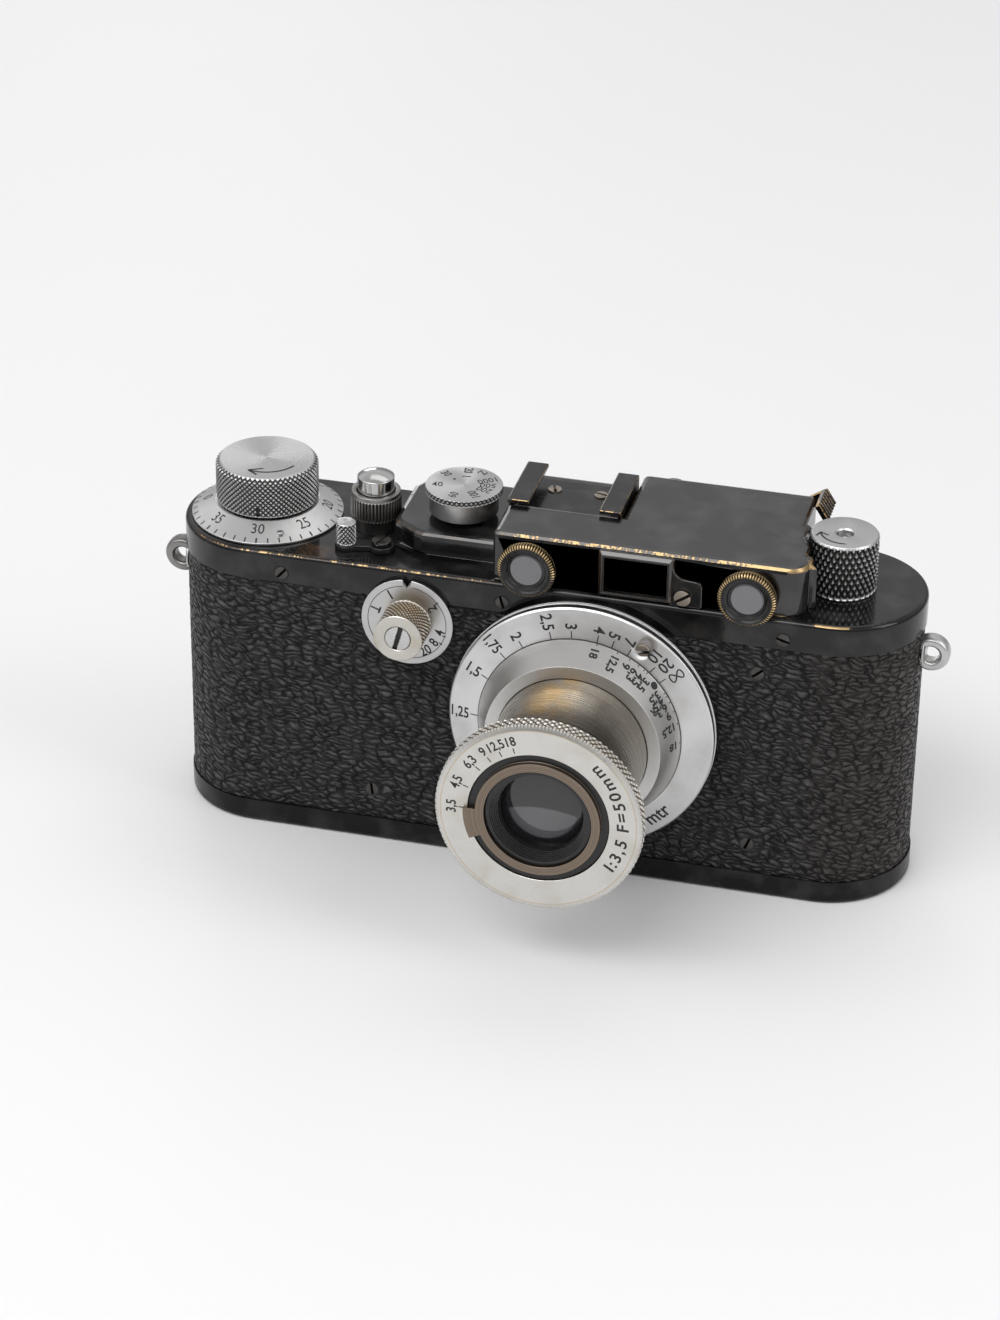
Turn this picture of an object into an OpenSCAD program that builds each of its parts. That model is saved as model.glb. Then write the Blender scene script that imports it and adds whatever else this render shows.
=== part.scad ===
// Screw-mount rangefinder camera with a collapsible 50 mm lens.
// Millimetres. +X is the right-hand side seen from the front, the lens looks along -Y, +Z is up.
// The origin is the middle of the base plate's underside.

/* [Body] */
// Length of the body over its round ends
body_len = 133.1; // [132:0.1:135]
// Depth of the body over the top plate
body_depth = 30; // [30:0.1:30.4]
// Height of the base plate
base_h = 4.4; // [4.2:0.1:4.6]
// Thickness of the metal skins
skin_t = 0.8; // [0.7:0.05:0.9]
// Thickness of the leather
leather_t = 0.6; // [0.5:0.05:0.6]

/* [Lens] */
// Lens axis, distance to the right of the middle of the body
lens_x = 10.1; // [9.5:0.1:10.5]
// Lens axis, height above the underside
lens_z = 31.4; // [31.2:0.1:31.6]
// Outer radius of the distance scale flange
flange_r = 23.6; // [23:0.1:23.8]
// Outer radius of the sliding lens tube
tube_r = 13.37; // [13.3:0.01:13.4]
// Outer radius of the front ring
front_r = 18; // [17.6:0.1:18.2]

/* [Controls] */
// Radius of the wind knob
wind_knob_r = 9.1; // [8:0.1:9.2]
// Radius of the rewind knob
rewind_knob_r = 6; // [5:0.1:6]
// Radius of the shutter speed dial
speed_dial_r = 6.85; // [6.2:0.05:6.9]
// Radius of the slow speed dial
slow_dial_r = 8.25; // [7.5:0.05:8.4]

/* [Hidden] */
$fn = 96;

// Body outline and heights
end_r = body_depth / 2;
end_x = (body_len - body_depth) / 2;
leather_top = 50.2;
plate_top = 55.8;
top_t = 1;
leather_r = end_r - 0.2;
shell_r = leather_r - leather_t;
cavity_r = shell_r - skin_t;
seam = 0.02;
skirt_in_r = shell_r + 0.05;

// Upright shafts: wind shaft, sprocket and release, curtain drum and speed dial, rewind
wind_x = -51.9;
sprocket_x = -31.9;
drum_x = -15.9;
rewind_x = 51.5;
shaft_r = 3;
run_fit = 0.05;

// Gear train
gear_m = 0.5;
wind_teeth = 40;
sprocket_teeth = 40;
drum_teeth = 24;
gear_z0 = 51.8;
gear_z1 = 53.4;
mech_z0 = 49.6;
mech_z1 = 50.8;

// Shutter crate and film gate
crate_x0 = -24.5;
crate_x1 = 41.5;
crate_z0 = 8;
crate_t = 1.2;
crate_front = -12.9;
crate_back = 8.6;
gate_w = 36;
gate_h = 24;
film_plane_y = 12.75;
drum_r = 7.4;
roller_x = 36.5;
roller_y = [-2.4, 4.2];

// Rangefinder housing
housing_top = 65.3;
housing_front = -14.2;
housing_back = 14.2;
platform_top = 60.2;
recess_z = 62.8;
recess_y = -2.8;
recess_x0 = -7.3;
recess_x1 = 13.3;
window_left_x = -0.7;
window_right_x = 37.8;
window_z = 59.4;
finder_x0 = 11.6;
finder_x1 = 24.9;

// Lens stack, as distances in front of the body's middle plane
mount_face = 16.1;
flange_face = 18.67;
focus_front = 25.1;
tube_back = 15.5;
tube_front = 45.9;
front_face = 49.3;
thread_r = 19.5;
helix_r = 16.6;
focus_r = 18.05;
lever_angle = 240;
lever_r = 25;
focus_edge = 19.8;
aperture_index = 178;

// Screws
skirt_screw_x = [-44.9, -5.1, 44.2];
skirt_screw_z = 52;
leather_screws = [[40, 44.7], [39.7, 10.1], [-28.7, 10.2], [-28.7, 44.4]];
slow_x = -21.85;
slow_z = 46.2;
lug_x = 67.5;
lug_z = 45.2;
lug_hole_x = 68.3;
lug_hole_r = 1.5;
pivot = [-28.5, -8.5];
lever_knob = [-34.6, -9.6];
rf_pivot_y = -7;
shoe_x = 2.9;
shoe_screw_x = [-1.3, 7.1];
shoe_screw_y = 7.2;
finder_screw_x = 26.6;
finder_screw_z = 57.8;
eyepiece_x = 18.3;
key_x = 45;

// ---------- shared shapes ----------

module stadium(r) {
    square([2 * end_x, 2 * r], center = true);
    for (side = [-1, 1]) translate([side * end_x, 0]) circle(r);
}

// Half outline of a plate's edge: radius r, height h, upper corner rounded by f
module edge_outline(r, h, f) {
    square([r, h - f]);
    square([r - f, h]);
    translate([r - f, h - f]) circle(f, $fn = 32);
}

// Plate with round ends and a rounded upper edge, standing on z = 0
module rounded_plate(r, h, f) {
    for (side = [-1, 1]) translate([side * end_x, 0, 0]) rotate_extrude() edge_outline(r, h, f);
    translate([-end_x, 0, 0]) rotate([90, 0, 90]) linear_extrude(2 * end_x) {
        edge_outline(r, h, f);
        mirror([1, 0]) edge_outline(r, h, f);
    }
}

module slab(x, y, z) {
    translate([x[0], y[0], z[0]]) cube([x[1] - x[0], y[1] - y[0], z[1] - z[0]]);
}

module post(x, y, z0, z1, r) {
    translate([x, y, z0]) cylinder(h = z1 - z0, r = r);
}

module front_rod(x, z, y0, y1, r) {
    translate([x, y0, z]) rotate([-90, 0, 0]) cylinder(h = y1 - y0, r = r);
}

module side_rod(x0, x1, z, r) {
    translate([x0, 0, z]) rotate([0, 90, 0]) cylinder(h = x1 - x0, r = r);
}

module tube(r_in, r_out, h) {
    difference() {
        cylinder(h = h, r = r_out);
        translate([0, 0, -1]) cylinder(h = h + 2, r = r_in);
    }
}

// Places children on the lens axis, with their +Z running forward out of the lens
module on_lens_axis() {
    translate([lens_x, 0, lens_z]) rotate([90, 0, 0]) children();
}

// Ring on the lens axis from distance d0 to d1 in front of the middle plane
module lens_band(d0, d1, r_in, r_out) {
    on_lens_axis() translate([0, 0, d0]) tube(r_in, r_out, d1 - d0);
}

// Spur gear outline with straight flanks and generous backlash
function gear_points(teeth) = let (
        pitch_r = gear_m * teeth / 2,
        tip_r = pitch_r + 0.8 * gear_m,
        root_r = pitch_r - gear_m,
        half_pitch = 360 / teeth / 2,
        tip_a = 0.22 * half_pitch,
        root_a = 0.62 * half_pitch
    ) [for (i = [0 : teeth - 1], p = [[root_r, -root_a], [tip_r, -tip_a], [tip_r, tip_a], [root_r, root_a]])
        p[0] * [cos(p[1] + 2 * i * half_pitch), sin(p[1] + 2 * i * half_pitch)]];

module gear(teeth, phase) {
    rotate([0, 0, phase]) linear_extrude(gear_z1 - gear_z0) polygon(gear_points(teeth));
}

// Slotted screw along +Y, with its head's outer face at y = 0 and its slot turned by turn
module slotted_screw(head_r, head_t, shank_r, shank_len, turn = 35) {
    difference() {
        rotate([-90, 0, 0]) cylinder(h = head_t, r = head_r, $fn = 32);
        rotate([0, turn, 0]) translate([-head_r - 1, -1, -0.2]) cube([2 * head_r + 2, 1.35, 0.4]);
    }
    translate([0, head_t, 0]) rotate([-90, 0, 0]) cylinder(h = shank_len, r = shank_r, $fn = 32);
}

// Lens element on the lens axis, as a plain disc
module glass_disc(d0, d1, r) {
    on_lens_axis() translate([0, 0, d0]) cylinder(h = d1 - d0, r = r);
}

// ---------- body ----------

// Straight walls and two round ends, which meet at hairline seams
module body_shell() {
    color([0.09, 0.09, 0.1]) difference() {
        translate([0, 0, base_h]) linear_extrude(plate_top - top_t - 0.1 - base_h) difference() {
            stadium(shell_r);
            stadium(cavity_r);
            for (side = [-1, 1]) translate([side * end_x, 0]) square([seam, 2 * end_r], center = true);
        }
        front_rod(lens_x, lens_z, -end_r, -5, 20.6);
        front_rod(slow_x, slow_z, -end_r, -5, 3.8);
        screw_shank_holes(0.75);
        side_rod(-end_x - end_r, end_x + end_r, lug_z, 1.2);
    }
}

module screw_shank_holes(r) {
    for (x = skirt_screw_x) front_rod(x, skirt_screw_z, -end_r - 1, end_r + 1, r);
    for (p = leather_screws) front_rod(p[0], p[1], -end_r - 1, -5, r);
}

module leather_cover() {
    color([0.12, 0.11, 0.11]) difference() {
        translate([0, 0, base_h]) linear_extrude(leather_top - base_h) difference() {
            stadium(leather_r);
            stadium(shell_r);
        }
        front_rod(lens_x, lens_z, -end_r, -5, 22.05);
        front_rod(slow_x, slow_z, -end_r, -5, 3.8);
        for (p = leather_screws) front_rod(p[0], p[1], -end_r - 1, -5, 1.5);
        side_rod(-end_x - end_r, end_x + end_r, lug_z, 2.4);
    }
}

module top_plate() {
    skirt_h = plate_top - leather_top;
    color([0.05, 0.05, 0.06]) difference() {
        translate([0, 0, leather_top]) rounded_plate(end_r, skirt_h, 0.9);
        translate([0, 0, leather_top - 1]) linear_extrude(skirt_h - top_t + 1) stadium(skirt_in_r);
        for (x = [wind_x, sprocket_x, drum_x, rewind_x])
            post(x, 0, plate_top - 3, plate_top + 1, shaft_r + run_fit);
        post(pivot[0], pivot[1], plate_top - 3, plate_top + 1, 0.95);
        post(window_left_x, rf_pivot_y, plate_top - 3, plate_top + 1, 1.05);
        front_rod(lens_x, lens_z, -end_r - 1, -5, 22.1);
        for (x = skirt_screw_x) front_rod(x, skirt_screw_z, -end_r - 1, end_r + 1, 1.45);
    }
}

// Screws of the skirt (front and back), of the leather panel and of the lens mount
module body_screws() {
    color([0.2, 0.2, 0.21]) {
        for (x = skirt_screw_x, turn = [0, 180])
            translate([x, 0, skirt_screw_z]) rotate([0, 0, turn]) mirror([turn == 180 ? 1 : 0, 0, 0])
                translate([0, -end_r + 0.02, 0]) slotted_screw(1.4, 0.65, 0.7, 1.35);
        for (p = leather_screws) translate([p[0], -leather_r, p[1]]) slotted_screw(1.45, 0.55, 0.7, 1.2);
    }
}

// Eyelet on a stem: a round plate with its hole set outwards, cut to the round end of the body
module strap_lug() {
    outline = [[0, -1.5], [3.1, -1.5], [3.6, -0.9], [3.6, 0.9], [3.1, 1.5], [0, 1.5]];
    nut_r = 2.2;
    nut_x = end_x + cavity_r - 1.3;
    difference() {
        union() {
            difference() {
                translate([lug_x, 0, lug_z]) rotate([90, 0, 0]) rotate_extrude() polygon(outline);
                post(end_x, 0, lug_z - 5, lug_z + 5, leather_r + 0.05);
            }
            side_rod(end_x + leather_r + 0.05, end_x + leather_r + 0.4, lug_z, 2.7);
            side_rod(nut_x, end_x + leather_r + 0.1, lug_z, 1.15);
            translate([nut_x, 0, lug_z]) rotate([0, 90, 0]) cylinder(h = 0.9, r = nut_r, $fn = 6);
        }
        translate([lug_hole_x, 0, lug_z]) rotate([90, 0, 0]) cylinder(h = 8, r = lug_hole_r, center = true);
    }
}

module strap_lugs() {
    color([0.78, 0.76, 0.7]) {
        strap_lug();
        mirror([1, 0, 0]) strap_lug();
    }
}

// ---------- inside the body ----------

module mechanism_plate() {
    color([0.72, 0.6, 0.34]) difference() {
        translate([0, 0, mech_z0]) linear_extrude(mech_z1 - mech_z0) stadium(cavity_r - 0.05);
        for (x = [wind_x, sprocket_x, drum_x, rewind_x])
            post(x, 0, mech_z0 - 1, mech_z1 + 1, shaft_r + run_fit);
        post(window_left_x, rf_pivot_y, mech_z0 - 1, mech_z1 + 1, 1.05);
        front_rod(lens_x, lens_z, -end_r, -8.4, 20.7);
    }
}

module shutter_crate() {
    front_x0 = -15;
    color([0.5, 0.5, 0.52]) difference() {
        union() {
            slab([-38, crate_x1], [crate_front, crate_back], [crate_z0, crate_z0 + crate_t]);
            slab([front_x0, crate_x1], [crate_front, crate_front + 1], [crate_z0 + crate_t, mech_z0]);
            slab([crate_x1 - 1, crate_x1], [crate_front, crate_back], [crate_z0 + crate_t, mech_z0]);
            slab([crate_x0, crate_x0 + 0.8], [-7.6, crate_back], [crate_z0 + crate_t, mech_z0]);
        }
        front_rod(lens_x, lens_z, -end_r, -10, 20.7);
        post(sprocket_x, 0, crate_z0 - 1, crate_z0 + 3, 1.55);
        post(drum_x, 0, crate_z0 - 1, crate_z0 + 3, 1.55);
    }
}

module film_gate() {
    color([0.2, 0.2, 0.21]) difference() {
        union() {
            slab([crate_x0, crate_x1], [film_plane_y - 1.2, film_plane_y], [crate_z0, mech_z0]);
            slab([lens_x - gate_w / 2 - 1, lens_x + gate_w / 2 + 1], [crate_back, film_plane_y - 1.2],
                 [lens_z - gate_h / 2 - 1, lens_z + gate_h / 2 + 1]);
            for (x = [crate_x0, crate_x1 - 1])
                slab([x, x + 0.8], [crate_back, film_plane_y - 1.2], [crate_z0, mech_z0]);
        }
        slab([lens_x - gate_w / 2, lens_x + gate_w / 2], [crate_back - 1, film_plane_y + 1],
             [lens_z - gate_h / 2, lens_z + gate_h / 2]);
    }
}

module pressure_plate() {
    color([0.1, 0.1, 0.1]) slab([lens_x - 21, lens_x + 21], [film_plane_y + 0.15, cavity_r - 0.05],
                                [lens_z - 16.5, lens_z + 16.5]);
}

// The opening curtain is run off onto its roller, the closing one is drawn across the gate
module shutter_curtains() {
    color([0.08, 0.07, 0.07]) {
        translate([roller_x, roller_y[1], lens_z - 16]) tube(2.62, 3.1, 32);
        slab([drum_x + 2, 33], [drum_r + 0.4, drum_r + 0.6], [lens_z - 16, lens_z + 16]);
    }
}

module tension_rollers() {
    color([0.7, 0.7, 0.72]) for (y = roller_y) post(roller_x, y, crate_z0 + crate_t, mech_z0, 2.6);
}

module wind_shaft() {
    color([0.75, 0.7, 0.55]) {
        post(wind_x, 0, 44, gear_z0, shaft_r);
        post(wind_x, 0, gear_z1, 58.8, shaft_r);
        translate([wind_x, 0, gear_z0]) gear(wind_teeth, 0);
    }
}

module take_up_spool() {
    color([0.15, 0.15, 0.16]) difference() {
        union() {
            post(wind_x, 0, 7.5, 49.2, 5.4);
            post(wind_x, 0, 13.4, 14.4, 10.8);
            post(wind_x, 0, 48.2, 49.2, 10.8);
            post(wind_x, 0, 6.2, 7.5, 7.5);
        }
        post(wind_x, 0, 43.9, 50, shaft_r + 0.02);
        slab([wind_x - 8, wind_x], [-0.4, 0.4], [16, 46.5]);
    }
}

module sprocket_drum() {
    tooth_rows = [lens_z - 14.1, lens_z + 14.1];
    color([0.8, 0.8, 0.8]) difference() {
        union() {
            post(sprocket_x, 0, crate_z0, 14, 1.5);
            post(sprocket_x, 0, 14, 20.5, 6);
            post(sprocket_x, 0, 20.5, 42.3, 4.8);
            post(sprocket_x, 0, 42.3, 49, 6);
            post(sprocket_x, 0, 49, gear_z0, shaft_r);
            translate([sprocket_x, 0, gear_z0]) gear(sprocket_teeth, 180 / sprocket_teeth);
            for (z = tooth_rows, i = [0 : 7]) translate([sprocket_x, 0, z]) rotate([0, 0, i * 45])
                translate([5.5, -0.6, -0.6]) cube([1.2, 1.2, 1.2]);
        }
        post(sprocket_x, 0, 40, 60, 1.3);
    }
}

module curtain_drum() {
    color([0.6, 0.6, 0.62]) {
        post(drum_x, 0, crate_z0, crate_z0 + 2.2, 1.5);
        post(drum_x, 0, crate_z0 + 2.2, 49.2, drum_r);
        post(drum_x, 0, 49.2, gear_z0, shaft_r);
        post(drum_x, 0, gear_z1, 60.4, shaft_r);
        translate([drum_x, 0, gear_z0]) gear(drum_teeth, 0);
        post(drum_x, 0, 60.4, 61.4, 2);
    }
}

module slow_escapement() {
    color([0.7, 0.58, 0.32]) difference() {
        union() {
            slab([-29, -15.4], [-12.8, -8.2], [36, 38]);
            slab([-29, -15.4], [-12.8, -8.2], [47.5, 49.4]);
            slab([-29, -27.6], [-12.8, -8.2], [38, 47.5]);
            slab([-16.8, -15.4], [-12.8, -8.2], [38, 47.5]);
            front_rod(-25.2, 42.5, -12.6, -8.4, 2.2);
            front_rod(-18.8, 41.5, -12.6, -8.4, 1.8);
            slab([-27.6, -16.8], [-9.2, -8.4], [38, 47.5]);
        }
        front_rod(slow_x, slow_z, -13, -12.2, 3.1);
    }
}

// ---------- top controls ----------

module wind_knob() {
    outline = [[0, 58.8], [wind_knob_r - 0.5, 58.8], [wind_knob_r, 59.3], [wind_knob_r, 65.3],
               [wind_knob_r - 0.35, 66.1], [wind_knob_r - 1.1, 66.5], [0, 66.5]];
    color([0.8, 0.8, 0.8]) translate([wind_x, 0, 0]) rotate_extrude() polygon(outline);
}

module frame_counter_dial() {
    outline = [[shaft_r + run_fit, 55.9], [13.45, 55.9], [13.45, 56.3], [9.3, 58.6],
               [shaft_r + run_fit, 58.6]];
    color([0.85, 0.85, 0.85]) translate([wind_x, 0, 0]) {
        rotate_extrude() polygon(outline);
        for (a = [-62, 118]) rotate([0, 0, a]) translate([11.7, 0, 57])
            cylinder(h = 0.7, r = 0.65, $fn = 24);
    }
}

module release_collar() {
    color([0.25, 0.24, 0.22]) translate([sprocket_x, 0, 0]) difference() {
        union() {
            post(0, 0, plate_top, 58.2, 4.3);
            post(0, 0, 58.2, 63, 4.5);
        }
        post(0, 0, plate_top - 1, 57, 1.4);
        post(0, 0, 57, 64, 3.45);
    }
}

module release_button() {
    color([0.82, 0.82, 0.82]) translate([sprocket_x, 0, 0]) {
        post(0, 0, 47, 59.8, 1.22);
        post(0, 0, 59.8, 65.6, 3.3);
        intersection() {
            translate([0, 0, 60.35]) sphere(r = 6.2);
            post(0, 0, 65.6, 67, 3.3);
        }
    }
}

// Return spring under the button, kept as a plain sleeve
module release_spring() {
    color([0.6, 0.6, 0.6]) translate([sprocket_x, 0, 57.05]) tube(1.5, 2.4, 2.7);
}

module clutch_lever() {
    reach = norm(lever_knob - pivot);
    heading = atan2(lever_knob[1] - pivot[1], lever_knob[0] - pivot[0]);
    color([0.1, 0.1, 0.1]) translate([pivot[0], pivot[1], 0]) rotate([0, 0, heading]) difference() {
        union() {
            post(0, 0, 55.9, 56.9, 2.3);
            post(reach, 0, 55.9, 56.9, 2);
            slab([0, reach], [-1.3, 1.3], [55.9, 56.9]);
        }
        post(0, 0, 55, 58, 1);
    }
}

module clutch_knob() {
    color([0.8, 0.78, 0.72]) post(lever_knob[0], lever_knob[1], 56.9, 61, 1.75);
}

module clutch_screw() {
    color([0.2, 0.2, 0.2]) translate([pivot[0], pivot[1], 0]) difference() {
        union() {
            post(0, 0, 54.2, 57, 0.94);
            post(0, 0, 57, 57.7, 1.75);
        }
        rotate([0, 0, 75]) slab([-3, 3], [-0.22, 0.22], [57.35, 58]);
    }
}

module dial_core() {
    color([0.7, 0.65, 0.5]) translate([drum_x, 0, 0]) difference() {
        post(0, 0, 60.5, 63.6, 3.4);
        post(0, 0, 60, 61.5, 2.05);
    }
}

module speed_dial() {
    color([0.84, 0.84, 0.84]) translate([drum_x, 0, 0]) difference() {
        union() {
            post(0, 0, 62.3, 64.9, 6.1);
            post(0, 0, 64.9, 66.1, speed_dial_r);
        }
        post(0, 0, 62, 63.7, 3.45);
    }
}

module rewind_knob() {
    color([0.8, 0.8, 0.8]) translate([rewind_x, 0, 0]) difference() {
        union() {
            post(0, 0, 55.95, 65.8, rewind_knob_r);
            post(0, 0, 65.8, 66.2, rewind_knob_r - 0.3);
        }
        post(0, 0, 55, 64.2, 1.55);
        post(0, 0, 64.5, 67, 1.4);
    }
}

module rewind_shaft() {
    color([0.75, 0.72, 0.65]) translate([rewind_x, 0, 0]) {
        post(0, 0, 54.9, 64.1, 1.5);
        post(0, 0, 48.9, 54.9, shaft_r);
        post(0, 0, 47.9, 48.9, 6);
        for (side = [-1, 1]) slab([side * 2.2 - 0.8, side * 2.2 + 0.8], [-1, 1], [42.5, 47.9]);
    }
}

// ---------- rangefinder and finder ----------

// Flat outline of the tall part of the housing, shrunk by inset
module housing_outline(inset) {
    front = housing_front + inset;
    back = housing_back - inset;
    left = -7.2 + inset;
    difference() {
        union() {
            translate([left, front]) square([44.2 - inset - left, back - front]);
            translate([40, front + 3.4]) square([7.8 - inset, 3.2]);
            translate([44.2 - inset, front + 3.4]) circle(3.4);
            translate([40, -9]) square([6.6 - inset, 12]);
        }
        translate([rewind_x, 0]) circle(rewind_knob_r + 0.5 + inset);
    }
}

// Flat outline of the low platform under the speed dial
module platform_outline(inset) {
    x0 = -27.3 + inset;
    y0 = -8.8 + inset;
    y1 = 13 - inset;
    polygon([[x0, -4.2], [x0 + 0.5, -5.3], [x0 + 4.6, y0 + 0.6], [x0 + 6, y0], [-6, y0], [-6, y1],
             [x0 + 4, y1], [x0 + 1.2, y1 - 1.2], [x0, y1 - 4]]);
}

module rangefinder_housing() {
    wall = 0.9;
    color([0.05, 0.05, 0.06]) difference() {
        union() {
            translate([0, 0, plate_top]) linear_extrude(housing_top - plate_top) housing_outline(0);
            translate([0, 0, plate_top]) linear_extrude(platform_top - plate_top) platform_outline(0);
        }
        slab([recess_x0, recess_x1], [recess_y, housing_back + 1], [recess_z, housing_top + 1]);
        translate([0, 0, plate_top - 1]) linear_extrude(recess_z - wall - plate_top + 1)
            housing_outline(wall);
        translate([0, 0, plate_top - 1]) linear_extrude(platform_top - wall - plate_top + 1)
            platform_outline(wall);
        post(drum_x, 0, plate_top, housing_top, shaft_r + run_fit);
        for (x = [window_left_x, window_right_x])
            front_rod(x, window_z, housing_front - 1, housing_front + 2, 3.3);
        slab([finder_x0 + 1, finder_x1 - 1.3], [housing_front - 1, housing_front + 2], [56.9, 63.3]);
        front_rod(finder_screw_x, finder_screw_z, housing_front - 1, housing_front + 2, 0.75);
        for (x = [eyepiece_x, window_right_x])
            front_rod(x, window_z, housing_back - 2, housing_back + 1, 3);
        for (x = shoe_screw_x) post(x, shoe_screw_y, recess_z - 2, recess_z + 1, 0.65);
    }
}

module window_rim(x) {
    color([0.72, 0.6, 0.33]) difference() {
        union() {
            front_rod(x, window_z, -16.5, -15.05, 5.1);
            intersection() {
                front_rod(x, window_z, -15.05, housing_front, 4.6);
                slab([x - 6, x + 6], [-16, -10], [plate_top + 0.05, 70]);
            }
            front_rod(x, window_z, -14.3, -12.6, 3.25);
        }
        front_rod(x, window_z, -17, -15.9, 4.3);
        front_rod(x, window_z, -16, -12, 2.8);
    }
}

module rf_window_rims() {
    window_rim(window_left_x);
    window_rim(window_right_x);
}

// Window and eyepiece glasses of the rangefinder and the finder
module cover_glasses() {
    color([0.5, 0.52, 0.55]) {
        for (x = [window_left_x, window_right_x]) front_rod(x, window_z, -15.9, -15.3, 2.75);
        for (x = [eyepiece_x, window_right_x]) front_rod(x, window_z, 15.2, 16, 2.18);
        slab([finder_x0 + 1.1, finder_x1 - 1.4], [-14, -13.4], [57, 63.2]);
    }
}

module finder_frame() {
    color([0.05, 0.05, 0.05]) difference() {
        union() {
            slab([finder_x0, finder_x1], [-15.15, housing_front], [55.9, 64.7]);
            slab([finder_x1 - 1, 29.9], [-15.15, housing_front], [55.9, 60.8]);
            slab([finder_x1 - 1, 27], [-15.15, housing_front], [60, 62]);
        }
        slab([finder_x0 + 1, finder_x1 - 1.3], [-17, -12], [56.9, 63.3]);
        front_rod(finder_screw_x, finder_screw_z, -17, -12, 0.75);
    }
}

// Screws of the finder frame and of the accessory shoe
module cover_screws() {
    color([0.4, 0.36, 0.3]) {
        translate([finder_screw_x, -15.65, finder_screw_z]) slotted_screw(1.5, 0.5, 0.7, 2.2);
        for (x = shoe_screw_x) translate([x, shoe_screw_y, recess_z + 0.9])
            rotate([-90, 0, 0]) slotted_screw(1.3, 0.3, 0.6, 1.8);
    }
}

// Shoe with two lips over a channel 18.6 wide and 2.2 high, open towards the back
module accessory_shoe() {
    x0 = shoe_x - 10.1;
    x1 = shoe_x + 10.1;
    lip_w = 3.85;
    floor_z = recess_z + 0.6;
    lip_z = floor_z + 2.2;
    web_y = [recess_y + 0.05, 11.2];
    lip_y = [recess_y - 1, 11.2];
    color([0.12, 0.11, 0.1]) difference() {
        union() {
            slab([x0, x1], web_y, [recess_z, floor_z]);
            for (x = [x0, x1 - 0.8]) slab([x, x + 0.8], web_y, [floor_z, lip_z]);
            for (x = [x0, x1 - lip_w]) slab([x, x + lip_w], lip_y, [lip_z, lip_z + 0.8]);
        }
        for (x = shoe_screw_x) post(x, shoe_screw_y, recess_z - 2, recess_z + 3, 0.65);
    }
}

module eyepiece(x, r) {
    color([0.06, 0.06, 0.06]) difference() {
        union() {
            front_rod(x, window_z, housing_back - 1.6, 15.9, 2.95);
            front_rod(x, window_z, 15.9, 17, r);
        }
        front_rod(x, window_z, housing_back - 3, 18, 2.2);
    }
}

module finder_eyepiece() {
    eyepiece(eyepiece_x, 4.2);
}

module rf_eyepiece() eyepiece(window_right_x, 3.4);

// Ring round the rangefinder eyepiece with an arm and a thumb tab beside the housing
module diopter_lever() {
    color([0.6, 0.48, 0.25]) translate([window_right_x, 0, window_z]) rotate([0, -33, 0]) difference() {
        union() {
            front_rod(0, 0, end_r + 0.05, 15.85, 4.4);
            slab([3, 9.9], [end_r + 0.05, 15.85], [-1.4, 1.4]);
            slab([8.9, 9.9], [9.2, 15.85], [-2, 1.4]);
        }
        front_rod(0, 0, 14, 16, 3);
    }
}

// Lever that feels the lens and turns the moving prism
module rf_arm() {
    tip_x = 12.3;
    color([0.75, 0.7, 0.6]) {
        post(window_left_x, rf_pivot_y, 45.6, 47.4, 2.2);
        slab([window_left_x, tip_x], [rf_pivot_y - 1.1, rf_pivot_y + 1.1], [45.6, 47.4]);
        post(tip_x, rf_pivot_y, 44.95, 45.6, 1.45);
        post(window_left_x, rf_pivot_y, 47.4, 56.6, 1);
    }
}

module rf_moving_prism() {
    color([0.6, 0.65, 0.7]) slab([window_left_x - 2.6, window_left_x + 2.6],
                                 [rf_pivot_y - 2.6, rf_pivot_y + 2.6], [56.6, 61.2]);
}

module rf_fixed_prism() {
    color([0.6, 0.65, 0.7]) slab([window_right_x - 2.6, window_right_x + 2.6],
                                 [rf_pivot_y - 2.6, rf_pivot_y + 2.6], [plate_top, 61.2]);
}

// ---------- slow speed dial ----------

module slow_dial_bush() {
    color([0.1, 0.1, 0.1]) translate([slow_x, -cavity_r, slow_z]) rotate([90, 0, 0])
        tube(3.1, 3.78, 15.05 - cavity_r);
}

module slow_dial() {
    color([0.82, 0.82, 0.82]) {
        difference() {
            front_rod(slow_x, slow_z, -16, -15.1, slow_dial_r);
            translate([slow_x, -16.5, slow_z + 7.2]) rotate([-90, 0, 0])
                linear_extrude(2) polygon([[0, 0], [0.8, -1.4], [-0.8, -1.4]]);
        }
        front_rod(slow_x, slow_z, -15.1, -12.3, shaft_r + run_fit);
    }
}

module slow_dial_knob() {
    color([0.8, 0.8, 0.78]) difference() {
        front_rod(slow_x, slow_z, -22.1, -16, 4.4);
        front_rod(slow_x, slow_z, -23, -21.4, 2.3);
        front_rod(slow_x, slow_z, -22, -18, 1);
    }
}

module slow_dial_screw() {
    color([0.7, 0.7, 0.68]) translate([slow_x, -22.2, slow_z]) slotted_screw(2.25, 0.8, 0.95, 3, 75);
}

// ---------- lens ----------

module body_mount_ring() {
    color([0.75, 0.72, 0.65]) {
        lens_band(shell_r, mount_face, thread_r, 22);
        lens_band(11.8, shell_r, thread_r, 20.5);
    }
}

// Threaded flange with the distance scale on its slightly conical face
module lens_flange() {
    outline = [[helix_r, 11.7], [thread_r - 0.06, 11.7], [thread_r - 0.06, mount_face],
               [flange_r + 0.1, mount_face], [flange_r + 0.1, mount_face + 0.5],
               [flange_r, flange_face - 0.3], [flange_r - 0.3, flange_face],
               [focus_r + 0.1, focus_edge - 0.15], [focus_r + 0.1, flange_face + 0.05],
               [helix_r, flange_face + 0.05]];
    color([0.83, 0.82, 0.78]) on_lens_axis() {
        rotate_extrude() polygon(outline);
        rotate([0, 0, lever_angle - 13]) slab([20.4, 22.4], [-1, 1], [flange_face, flange_face + 1.6]);
    }
}

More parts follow.
